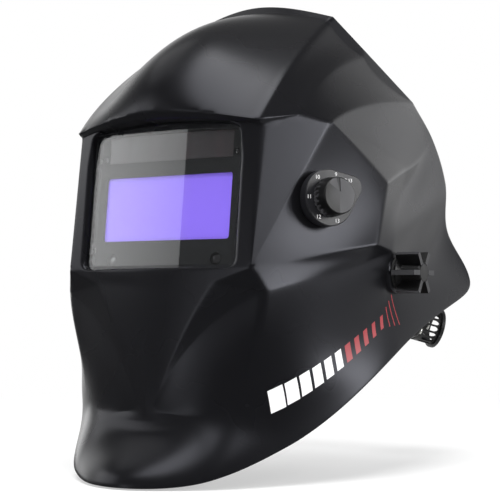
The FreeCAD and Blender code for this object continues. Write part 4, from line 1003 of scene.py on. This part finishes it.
@dataclass
class Shell:
    """Moulded shell: one thin skin with its window tunnel, pivot bosses and dial seat."""

    net: ShellNet = field(default_factory=ShellNet)
    window: Window = field(default_factory=Window)
    wall: float = 2.6
    rim_round: float = 0.55
    rounds: int = 3
    crisp: float = 0.12
    boss_radius: float = 13.6
    boss_thick: float = 6.0
    boss_proud: float = 1.2
    boss_edge: float = 0.8
    bolt_bore: float = 4.1
    seat_radius: float = 16.9
    seat_deep: float = 5.0
    shaft_bore: float = 3.7
    tree: BVHTree | None = field(init=False, default=None)

    CRISP_PATCHES = (6, 7)  # the brow's underside keeps its edges
    FRONT = (10, 11)  # the window's surround is made of rings instead
    FRONT_EDGES = (("keel_top", "keel_side"), ("keel_side", "surround_low"),
                   ("surround_low", "soffit_side"), ("soffit_side", "soffit_mid"))
    FRONT_RINGS = 8  # from the creases in to the opening
    BED_POINTS = 41  # each way, on the surface that the rings follow
    RAY_START = 60.0  # above the lens, clear of the whole surround
    FACE_DEPTH = 12.0  # behind the brow, within which the faces look to the front
    TUNNEL_MARGIN, TUNNEL_TOP = 1.2, 1.6  # round the opening, left as sharp as it is made
    TUNNEL_DEPTH = (-5.0, 16.0)

    def skin(self) -> tuple[np.ndarray, list[tuple[int, ...]]]:
        """Builds the outer surface of the moulding.

        Returns:
            Points in millimetres, and faces.
        """
        counts = self.net.counts()
        form = bmesh.new()
        layer = form.verts.layers.float.new("loose")
        for number, patch in enumerate(self.net.PATCHES):
            if number in self.FRONT:
                continue
            sides = (self.net.key(*patch[:2]), self.net.key(*patch[1:3]))
            u, v = (np.linspace(0, 1, counts[side] + 1) for side in sides)
            loose = self.crisp if number in self.CRISP_PATCHES else 1.0
            self.add_grid(form, layer, self.net.surface(patch, u, v), loose)
        self.add_front(form, layer, counts)
        bmesh.ops.remove_doubles(form, verts=form.verts, dist=0.02)
        bmesh.ops.recalc_face_normals(form, faces=form.faces)
        limit = self.FACE_DEPTH - self.net.brow_reach
        ahead = [f for f in form.faces if f.calc_center_median().y < limit]
        if sum(f.normal.y * f.calc_area() for f in ahead) > 0:
            bmesh.ops.reverse_faces(form, faces=form.faces)
        form.verts.index_update()
        points = np.array([v.co for v in form.verts])
        loose = np.array([v[layer] for v in form.verts])
        edge = np.array([any(e.is_boundary for e in v.link_edges) for v in form.verts])
        links = np.array([(e.verts[0].index, e.verts[1].index) for e in form.edges])
        faces = [tuple(v.index for v in f.verts) for f in form.faces]
        form.free()
        return self.soften(points, links, loose, edge), faces

    @staticmethod
    def add_grid(
        form: bmesh.types.BMesh, layer: bmesh.types.BMLayerItem, grid: np.ndarray, loose: float
    ) -> None:
        """Adds a grid of points and its mirror image as faces.

        Args:
            form: mesh in the making.
            layer: vertex layer that holds how freely a point may be smoothed.
            grid: points as rows and columns.
            loose: value for that layer.
        """
        for side in Side:
            rows = []
            for line in grid:
                row = [form.verts.new((x * side.value, y, z)) for x, y, z in line]
                for vert in row:
                    vert[layer] = loose
                rows.append(row)
            for one, two in zip(rows, rows[1:]):
                for k in range(len(one) - 1):
                    loop = [one[k], two[k], two[k + 1], one[k + 1]]
                    flat = [v for i, v in enumerate(loop) if (v.co - loop[i - 1].co).length > 1e-4]
                    if len(flat) > 2:
                        form.faces.new(flat if side is Side.LEFT else flat[::-1])

    def add_front(
        self, form: bmesh.types.BMesh, layer: bmesh.types.BMLayerItem, counts: dict[Pair, int]
    ) -> None:
        """Adds the window surround as rings from its creases in to the opening, lip and tunnel.

        Args:
            form: mesh in the making.
            layer: vertex layer that holds how freely a point may be smoothed.
            counts: steps along every edge of the net.
        """
        window = self.window
        edges = [counts[self.net.key(*pair)] for pair in self.FRONT_EDGES]
        outer = [bezier(self.net.edge(*pair), np.linspace(0, 1, count + 1))
                 for pair, count in zip(self.FRONT_EDGES, edges)]
        outline = np.vstack([outer[0]] + [line[1:] for line in outer[1:]])
        steps = (edges[0] + edges[1], edges[2], edges[3])
        opening = window.outline(window.lip, steps)
        extra = np.array([window.side_share(x, y) * window.side_lip for x, y in opening])
        opening[:, 0] += extra
        fine = np.linspace(0, 1, self.BED_POINTS)
        bed = bmesh.new()
        bed_layer = bed.verts.layers.float.new("loose")
        for number in self.FRONT:
            grid = self.net.surface(self.net.PATCHES[number], fine, fine)
            self.add_grid(bed, bed_layer, grid, 1.0)
        tree = BVHTree.FromBMesh(bed)
        bed.free()
        place = window.place
        inverse = place.inverted()
        outward = (place.to_3x3() @ Vector((0, 0, 1))).normalized()

        def height_at(x: float, y: float) -> float:
            """Height of the surround over the lens plane at a point of that plane."""
            hit = tree.ray_cast(place @ Vector((x, y, self.RAY_START)), -outward)[0]
            return (inverse @ hit).z if hit else 0.0

        rings = [outline]
        creases = np.array([tuple(inverse @ Vector(p)) for p in outline])[:, :2]
        for share in np.linspace(0, 1, self.FRONT_RINGS + 1)[1:]:
            flat = creases + (opening - creases) * share
            spots = [place @ Vector((x, y, height_at(x, y))) for x, y in flat]
            rings.append(np.array([tuple(spot) for spot in spots]))
        heights = [height_at(x, y) for x, y in opening]
        # growth outside the opening, share of the way down the tunnel or None on the
        # rounded lip, and distance farther down
        turns = np.radians((22.5, 45, 67.5, 90))
        profile = [(1 - math.sin(turn), None, 1 - math.cos(turn)) for turn in turns]
        profile += [(0.0, 0.35, 0.0), (0.0, 0.7, 0.0), (0.0, 1.0, 0.0), (-0.4, 1.0, 0.0),
                    (-window.ledge, 1.0, 0.0), (-window.ledge, 1.0, window.ledge_thick)]
        for grow, share, down in profile:
            line = window.outline(grow * window.lip if share is None else grow, steps)
            ring = []
            for (x, y), height, more in zip(line, heights, extra):
                lip = window.lip + more
                if share is None:
                    x += grow * more
                    z = height - down * lip
                else:
                    start = height - lip
                    z = start + (window.seat - start) * share - down
                ring.append(tuple(place @ Vector((x, y, z))))
            rings.append(np.array(ring))
        self.add_grid(form, layer, np.array(rings), 1.0)

    def soften(
        self, points: np.ndarray, links: np.ndarray, loose: np.ndarray, edge: np.ndarray
    ) -> np.ndarray:
        """Rounds the creases, as the radii of the mould do, and leaves the rims where they are.

        Args:
            points: points of the skin.
            links: pairs of neighbours.
            loose: how freely each point may move.
            edge: True for points on a rim.

        Returns:
            The moved points.
        """
        window = self.window
        matrix = np.array(window.place.inverted())
        x, y, z = (points @ matrix[:3, :3].T + matrix[:3, 3]).T
        tunnel = np.abs(x) < window.half + window.side_lip + self.TUNNEL_MARGIN
        tunnel &= (y > -window.low - self.TUNNEL_MARGIN)
        tunnel &= (y < window.high + window.arch + self.TUNNEL_TOP)
        tunnel &= (z > self.TUNNEL_DEPTH[0]) & (z < self.TUNNEL_DEPTH[1])
        free = np.where(edge | tunnel, 0.0, loose)
        moved = points.copy()
        for _ in range(self.rounds):
            span = np.linalg.norm(moved[links[:, 0]] - moved[links[:, 1]], axis=1)
            weight = 1 / np.maximum(span, 0.3)
            total = np.zeros_like(moved)
            mass = np.zeros(len(moved))
            for one, two in ((0, 1), (1, 0)):
                np.add.at(total, links[:, one], moved[links[:, two]] * weight[:, None])
                np.add.at(mass, links[:, one], weight)
            moved += (total / mass[:, None] - moved) * (0.5 * free)[:, None]
        return moved

    def build(self, dial_place: Matrix) -> Piece:
        """Builds the whole moulding.

        Args:
            dial_place: frame of the shade dial on the left pod, in millimetres.

        Returns:
            The shell's object, which stands for the CAD shell.
        """
        points, faces = self.skin()
        verts = [tuple(p) for p in points * MM]
        self.tree = BVHTree.FromPolygons(verts, faces)
        mesh = bpy.data.meshes.new("shell_skin")
        mesh.from_pydata(verts, [], faces)
        mesh.shade_smooth()
        skin = add_object("shell_skin", mesh)
        modify(skin, "SOLIDIFY", thickness=self.wall * MM, offset=-1.0)
        modify(skin, "BEVEL", width=self.rim_round * MM, segments=2, limit_method="ANGLE",
               angle_limit=math.radians(60))
        pieces = [skin]
        outer = self.net.side_half + self.boss_proud
        inner = outer - self.boss_thick
        bore, wide, edge = self.bolt_bore, self.boss_radius, self.boss_edge
        boss = ((bore, inner), (wide, inner), (wide, outer - edge), (wide - edge, outer),
                (bore, outer), (bore, inner))
        for side in Side:
            place = frame_at((0, 0, 0), (0, 0, -side.value), (side.value, 0, 0))
            pieces.append(lathe("boss", boss, place))
        seat = ((self.shaft_bore, -self.seat_deep), (self.seat_radius, -self.seat_deep),
                (self.seat_radius, 0), (self.shaft_bore, 0), (self.shaft_bore, -self.seat_deep))
        pieces.append(lathe("dial_seat", seat, dial_place))
        shell = join("shell_moulding", pieces)
        set_sharp(shell, 50)
        return shell


# ------------------------------------------------------------------ printed stripes
@dataclass
class JawStripes:
    """Slanted bars printed along the jaw: white ones, then red, then fine red lines."""

    start: tuple[float, float] = (-92.0, -78.0)  # (y, z) of the first bar's middle, on the left
    end: tuple[float, float] = (-6.0, -27.0)
    height: float = 13.0
    width: float = 8.2
    slant: float = 5.0
    shorter: float = 0.6  # from each bar to the next
    narrower: float = 0.5
    run: float = 0.9  # share of the way that the bars take up
    white: int = 6
    red: int = 5
    fine: int = 3
    fine_from: float = 0.97
    fine_step: float = 0.045
    fine_width: float = 0.8
    fine_heights: tuple[float, float] = (11.9, 4.0)  # of the first line, and added for each next
    film: float = 0.12
    steps: int = 10

    def bar(self, share: float, width: float, height: float) -> list[Point]:
        """Places a slanted bar.

        Args:
            share: where its middle lies along the run, from 0 to 1.
            width: its width in millimetres.
            height: its height in millimetres.

        Returns:
            Its four corners (y, z).
        """
        a, b = np.array(self.start), np.array(self.end)
        along = unit(b - a)
        across = np.array([-along[1], along[0]])
        middle = a + (b - a) * share
        return [middle + along * (s * width / 2 + t * self.slant / 2) + across * t * height / 2
                for s, t in ((-1, -1), (1, -1), (1, 1), (-1, 1))]

    def print_bar(self, form: bmesh.types.BMesh, tree: BVHTree, corners: Sequence[Point]) -> None:
        """Lays a bar on the shell's left side.

        Args:
            form: mesh that collects the bars.
            tree: the shell's outer surface, in metres.
            corners: the bar's corners (y, z) in millimetres.
        """
        a, b, c, d = corners
        shares = [k / self.steps for k in range(self.steps + 1)]
        rows = []
        for u in shares:
            row = []
            for v in shares:
                y, z = (a * (1 - u) + b * u) * (1 - v) + (d * (1 - u) + c * u) * v
                hit, normal = tree.ray_cast(Vector((0.2, y * MM, z * MM)), Vector((-1, 0, 0)))[:2]
                if hit is None:
                    return
                proud = self.film * MM * (1 if normal.x > 0 else -1)
                row.append(form.verts.new(hit + normal.normalized() * proud))
            rows.append(row)
        for one, two in zip(rows, rows[1:]):
            for k in range(self.steps):
                form.faces.new((one[k], two[k], two[k + 1], one[k + 1]))

    def build(self, tree: BVHTree) -> list[Piece]:
        """Builds the white and the red print.

        Args:
            tree: the shell's outer surface, in metres.

        Returns:
            The white piece and the red one.
        """
        total = self.white + self.red
        bars = [self.bar(k / (total - 1) * self.run, self.width - self.narrower * k,
                         self.height - self.shorter * k) for k in range(total)]
        first, more = self.fine_heights
        bars += [self.bar(self.fine_from + self.fine_step * k, self.fine_width, first + more * k)
                 for k in range(self.fine)]
        made = []
        groups = {"stripes_white": bars[: self.white], "stripes_red": bars[self.white :]}
        for name, group in groups.items():
            form = bmesh.new()
            for corners in group:
                self.print_bar(form, tree, corners)
            made.append(add_object(name, mesh_from(name, form)))
        return made


# ------------------------------------------------------------------ dial
@dataclass
class DialPrint:
    """Numbers printed on the shade dial's plate."""

    radius: float = 15.2
    first: float = 72.0
    step: float = 54.0
    numbers: tuple[str, ...] = ("9", "10", "11", "12", "13")
    height: float = 2.6
    range_words: str = "9-13"
    range_place: tuple[float, float] = (13.8, 11.0)
    range_height: float = 2.3
    face: float = 6.5
    film: float = 0.06

    SIZE_PER_HEIGHT = 1.35  # a font's size over the height of its figures

    def text(self, words: str, x: float, y: float, height: float, place: Matrix) -> Piece:
        """Makes flat printed figures in the dial's frame.

        Args:
            words: the figures.
            x: across the dial, in millimetres.
            y: up the dial, in millimetres.
            height: height of the figures in millimetres.
            place: the dial's frame, in millimetres.

        Returns:
            A mesh of the figures.
        """
        curve = bpy.data.curves.new("figure", "FONT")
        curve.body = words
        curve.size = height * self.SIZE_PER_HEIGHT * MM
        curve.align_x, curve.align_y = "CENTER", "CENTER"
        curve.extrude = self.film * MM / 2
        holder = add_object("figure_curve", curve)
        mesh = applied(holder)
        bpy.data.objects.remove(holder)
        spot = place.copy()
        spot.translation = place @ Vector((x, y, self.face + self.film / 2)) * MM
        mesh.transform(spot)
        return add_object("figure", mesh)

    def build(self, place: Matrix) -> Piece:
        """Builds all the print as one piece.

        Args:
            place: the dial's frame, in millimetres.

        Returns:
            The print's object.
        """
        pieces = []
        for k, number in enumerate(self.numbers):
            turn = math.radians(self.first + self.step * k)
            x, y = self.radius * math.cos(turn), self.radius * math.sin(turn)
            pieces.append(self.text(number, x, y, self.height, place))
        pieces.append(self.text(self.range_words, *self.range_place, self.range_height, place))
        return join("dial_print", pieces)


# ------------------------------------------------------------------ pads
@dataclass
class SoftPad:
    """Sewn pad of the headgear: cloth over foam, puffed by simulation inside its CAD solid."""

    node: str
    body: str
    voxel: float = 2.6
    pressure: float = 3.0
    tension: float = 12.0
    shrink: float = -0.02
    cap: float = 2.0
    seed_shrink: float = 1.0
    frames: int = 14
    smoothing: float = 0.6
    smooth_rounds: int = 4

    def build(self, source: Piece) -> Piece:
        """Builds the pad from its CAD solid.

        Args:
            source: the CAD node's object.

        Returns:
            The pad's object.
        """
        obj = add_object(self.node + "_sewn", source.data.copy())
        obj.data.materials.clear()
        modify(obj, "WELD", merge_threshold=1e-5)
        modify(obj, "REMESH", mode="VOXEL", voxel_size=self.voxel * MM)
        modify(obj, "DISPLACE", strength=-self.seed_shrink * MM, mid_level=0.0)
        apply_modifiers(obj)
        start = np.array([v.co for v in obj.data.vertices])
        self.simulate(obj)
        step = np.array([v.co for v in obj.data.vertices]) - start
        far = np.maximum(np.linalg.norm(step, axis=1, keepdims=True), 1e-9)
        held = start + step * np.minimum(1.0, self.cap * MM / far)
        obj.data.vertices.foreach_set("co", held.astype(np.float32).ravel())
        obj.data.update()
        modify(obj, "SMOOTH", factor=self.smoothing, iterations=self.smooth_rounds)
        modify(obj, "SUBSURF", levels=1, render_levels=1)
        apply_modifiers(obj)
        obj.data.shade_smooth()
        return obj

    def simulate(self, obj: Piece) -> None:
        """Puffs the pad with a short cloth simulation.

        Args:
            obj: the pad's object.
        """
        cloth = modify(obj, "CLOTH")
        cloth.settings.use_pressure = True
        cloth.settings.uniform_pressure_force = self.pressure
        cloth.settings.effector_weights.gravity = 0.0
        cloth.settings.tension_stiffness = self.tension
        cloth.settings.shrink_min = self.shrink
        cloth.point_cache.frame_start, cloth.point_cache.frame_end = 1, self.frames
        scene = bpy.context.scene
        for frame in range(1, self.frames + 1):
            scene.frame_set(frame)
        apply_modifiers(obj)
        scene.frame_set(1)


# ------------------------------------------------------------------ studio
@dataclass(frozen=True)
class SoftBox:
    """Soft box that faces the object.

    Azimuth, height and roll are in degrees, as in direction(), and the roll leans the box
    in its own plane. Sizes are in metres, and the power is in watts.
    """

    name: str
    azimuth: float
    height: float
    wide: float
    high: float
    watts: float
    roll: float = 0.0
    distance: float = 1.5
    fades: bool = False

    FADE_FROM, FADE_TO = 0.86, 0.4  # share of the width where it starts, and its last strength

    def build(self, target: Vector) -> None:
        """Adds the lamp.

        Args:
            target: point that it faces.
        """
        data = bpy.data.lights.new(self.name, "AREA")
        data.shape = "RECTANGLE"
        data.size, data.size_y, data.energy = self.wide, self.high, self.watts
        if self.fades:
            self.fade_edge(data)
        way = direction(self.azimuth, self.height)
        spin = Quaternion((0, 0, 1), math.radians(self.roll))
        obj = add_object(self.name, data)
        obj.location = target + way * self.distance
        obj.rotation_mode = "QUATERNION"
        obj.rotation_quaternion = (-way).to_track_quat("-Z", "Y") @ spin
        obj.visible_camera = False

    def fade_edge(self, data: bpy.types.Light) -> None:
        """Dims a box towards one edge, as the cloth of a soft box does near its rim.

        Args:
            data: the lamp.
        """
        tree = bare_tree(data)
        place = add(tree, "NewGeometry").outputs["Parametric"]
        across = add(tree, "SeparateXYZ", {"Vector": place}).outputs["X"]
        ramp = add(tree, "MapRange",
                   {"Value": across, "From Min": self.FADE_FROM, "To Min": 1.0,
                    "To Max": self.FADE_TO})
        glow = add(tree, "Emission", {"Color": WHITE, "Strength": ramp})
        add(tree, "OutputLight", {"Surface": glow})


@dataclass
class Studio:
    """Camera, soft lamps and pale floor."""

    azimuth: float = 33.16
    pitch: float = -2.05
    distance: float = 0.986
    focal: float = 102.46
    sensor: float = 36.0
    target: tuple[float, float, float] = (0.0, -0.0045, 0.017)
    floor: float = -0.1315
    ambient: float = 0.4
    ceiling: float = 0.2
    front: float = 0.12

    LAMPS = (
        SoftBox("right_box", 98.0, 13.0, 0.42, 0.5, 11.0, distance=1.6),
        SoftBox("front_box", 26.0, 70.0, 0.8, 1.6, 26.0, roll=-24.0),
        SoftBox("window_box", -59.0, 19.0, 1.258, 0.7, 6.8, roll=11.6, fades=True),
        SoftBox("jaw_box", 60.0, 33.0, 0.5, 0.35, 2.4),
        SoftBox("keel_box", -12.0, 0.0, 0.22, 0.5, 1.4),
        SoftBox("far_box", -85.0, 58.0, 1.0, 0.7, 1.8),
        SoftBox("left_box", -108.0, 9.0, 0.6, 1.0, 2.6),
        SoftBox("rear_box", 165.0, 17.0, 0.9, 0.35, 0.8, distance=1.7),
    )

    def camera(self) -> None:
        """Places the camera at the photograph's viewpoint."""
        back = direction(self.azimuth, self.pitch)
        data = bpy.data.cameras.new("camera")
        data.lens, data.sensor_width = self.focal, self.sensor
        data.clip_start, data.clip_end = 0.01, 20.0
        cam = add_object("camera", data)
        cam.location = Vector(self.target) + back * self.distance
        cam.rotation_mode = "QUATERNION"
        cam.rotation_quaternion = (-back).to_track_quat("-Z", "Y")
        bpy.context.scene.camera = cam

    def white_behind(
        self, tree: Tree, depth: Socket
    ) -> bpy.types.Node:
        """Adds the share of white that mirrors and glass show: all behind, and less in front.

        Args:
            tree: node tree to add to.
            depth: share of the direction that runs to the back.

        Returns:
            The node that gives the share.
        """
        return add(tree, "MapRange",
                   {"Value": depth, "From Min": -0.3, "From Max": 0.35, "To Min": self.front})

    def stage(self) -> None:
        """Lays the floor: pale paper that runs out into the white surround."""
        place = Matrix.Translation((0, 0, self.floor / MM))
        floor = lathe("floor", [(0.0, 0.0), (1000.0, 0.0), (4000.0, 0.0)], place, 96)
        made = bpy.data.materials.new("floor_paper")
        tree = bare_tree(made)
        coords = add(tree, "TexCoord").outputs["Object"]
        mottle = add(tree, "TexNoise",
                     {"Vector": coords, "Scale": per_metre(167.0), "Detail": 3.0})
        tint = add(tree, "Mix",
                   {"Factor": mottle, "A": linear("#f6f6f6"), "B": linear("#fbfbfb")},
                   data_type="RGBA")
        paper = add(tree, "BsdfPrincipled",
                    {"Base Color": tint, "Roughness": 0.9, "Specular IOR Level": 0.1})
        white = add(tree, "Emission", {"Color": WHITE, "Strength": 1.0})
        reach = add(tree, "VectorMath", {0: coords, 1: (0, 0, -self.floor)},
                    operation="ADD")
        length = add(tree, "VectorMath", {0: reach}, operation="LENGTH")
        fade = add(tree, "MapRange",
                   {"Value": length, "From Min": 0.15, "From Max": 0.75, "To Min": 0.45},
                   interpolation_type="SMOOTHSTEP")
        rays = add(tree, "LightPath").outputs
        share = add(tree, "Math", {0: rays["Is Camera Ray"], 1: fade},
                    operation="MULTIPLY")
        mix = add(tree, "MixShader", {0: share, 1: paper, 2: white})
        way = add(tree, "VectorMath", {0: reach}, operation="NORMALIZE")
        depth = add(tree, "SeparateXYZ", {"Vector": way}).outputs["Y"]
        glow = add(tree, "Emission",
                   {"Color": WHITE, "Strength": self.white_behind(tree, depth)})
        for kind in ("Is Glossy Ray", "Is Transmission Ray"):
            mix = add(tree, "MixShader", {0: rays[kind], 1: mix, 2: glow})
        add(tree, "OutputMaterial", {"Surface": mix})
        floor.data.materials.append(made)

    def world(self) -> None:
        """Sets a pale surround: white where it shows behind the object, dimmer overhead."""
        world = bpy.data.worlds.new("surround")
        bpy.context.scene.world = world
        tree = bare_tree(world)
        coords = add(tree, "TexCoord").outputs["Generated"]
        way = add(tree, "SeparateXYZ", {"Vector": coords}).outputs
        overhead = add(tree, "MapRange",
                       {"Value": way["Z"], "From Min": 0.37, "From Max": 0.62, "To Min": 1.0,
                        "To Max": self.ceiling})
        depth = self.white_behind(tree, way["Y"])
        dim = add(tree, "Math", {0: overhead, 1: depth}, operation="MULTIPLY")
        rays = add(tree, "LightPath").outputs
        mix = add(tree, "Background", {"Color": WHITE, "Strength": self.ambient})
        levels = {"Is Glossy Ray": dim, "Is Transmission Ray": depth, "Is Camera Ray": 1.0}
        for kind, level in levels.items():
            glow = add(tree, "Background", {"Color": WHITE, "Strength": level})
            mix = add(tree, "MixShader", {0: rays[kind], 1: mix, 2: glow})
        add(tree, "OutputWorld", {"Surface": mix})

    def build(self) -> None:
        """Sets up the whole studio."""
        self.camera()
        self.world()
        self.stage()
        for lamp in self.LAMPS:
            lamp.build(Vector(self.target))
        bpy.context.scene.view_settings.view_transform = "Standard"


# ------------------------------------------------------------------ the helmet
@dataclass
class Helmet:
    """The whole part: dresses the frame's pieces and adds the modelled ones."""

    frame: dict
    edge_round: float = 0.3
    thin_round: float = 0.12
    dial_depth: float = 5.0  # from the dial's axis point to its seat
    materials: dict[str, bpy.types.Material] = field(default_factory=dict)

    REPLACED = ("shell", "sweatband", "nape_pad")
    THIN = ("filter_glass", "circuit_board", "arc_sensors")
    CREASE = 40.0  # degrees, above which an edge of a CAD piece is sharp

    def dressed_in(self, finish: Finish) -> bpy.types.Material:
        """Gets a finish's material, made once.

        Args:
            finish: the finish.

        Returns:
            Its material.
        """
        if finish.name not in self.materials:
            self.materials[finish.name] = finish.material()
        return self.materials[finish.name]

    def dress(self) -> None:
        """Gives every CAD node its material and fine rounded edges."""
        entries = self.frame["record"]["subparts"]
        slots = {entry["node"]: entry["material_slot"] for entry in entries}
        for name, obj in self.frame["nodes"].items():
            obj.data.materials.clear()
            obj.data.materials.append(self.dressed_in(FINISHES[slots[name]]))
            LOG.info("dressed %s in %s", name, slots[name])
            if name in self.REPLACED:
                continue
            modify(obj, "WELD", merge_threshold=1e-6)
            if slots[name] == "lens_clear":
                # polished flat sheets: nothing bends their reflections or shades the cartridge
                obj.data.shade_flat()
                obj.visible_shadow = obj.visible_diffuse = False
                continue
            set_sharp(obj, self.CREASE)
            width = self.thin_round if name in self.THIN else self.edge_round
            modify(obj, "BEVEL", width=width * MM, segments=2, limit_method="ANGLE",
                   angle_limit=math.radians(self.CREASE))
            modify(obj, "WEIGHTED_NORMAL", keep_sharp=True)

    def dial_place(self) -> Matrix:
        """Finds the frame of the shade dial on the pod.

        Returns:
            The frame in millimetres: Z outwards, Y up, X to the back.
        """
        joint = next(j for j in self.frame["joints"] if j["name"] == "shade_turn")
        out = -Vector(joint["axis"]).normalized()
        across = Vector((-out.y, out.x, 0)).normalized()
        return frame_at((Vector(joint["pos_m"]) / MM) - out * self.dial_depth, across, out)

    def settle(self, obj: Piece, body: str, slot: str, *nodes: str) -> None:
        """Dresses a new piece and rides it on its body.

        Args:
            obj: the piece.
            body: the body that carries it.
            slot: the record's material slot.
            nodes: CAD nodes that it stands for.
        """
        obj.data.materials.append(self.dressed_in(FINISHES[slot]))
        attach(obj, body)
        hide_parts(*nodes)
        LOG.info("built %s on %s", obj.name, body)

    def build(self) -> None:
        """Builds and dresses everything."""
        self.dress()
        dial = self.dial_place()
        shell = Shell()
        self.settle(shell.build(dial), "shell", "shell_black", "shell")
        for stripes, ink in zip(JawStripes().build(shell.tree), (INK_WHITE, INK_RED)):
            stripes.data.materials.append(self.dressed_in(ink))
            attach(stripes, "shell")
            LOG.info("printed %s", stripes.name)
        print_piece = DialPrint().build(dial)
        print_piece.data.materials.append(self.dressed_in(INK_WHITE))
        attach(print_piece, "shell")
        LOG.info("printed %s", print_piece.name)
        for pad in (SoftPad("sweatband", "headgear"), SoftPad("nape_pad", "rear_cradle")):
            obj = pad.build(self.frame["nodes"][pad.node])
            self.settle(obj, pad.body, "pad_black", pad.node)


def main() -> None:
    """Builds the scene round the frame."""
    logging.basicConfig(level=logging.INFO, format="%(name)s: %(message)s")
    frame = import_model()
    Studio().build()
    Helmet(frame).build()


if __name__ == "__main__":
    main()
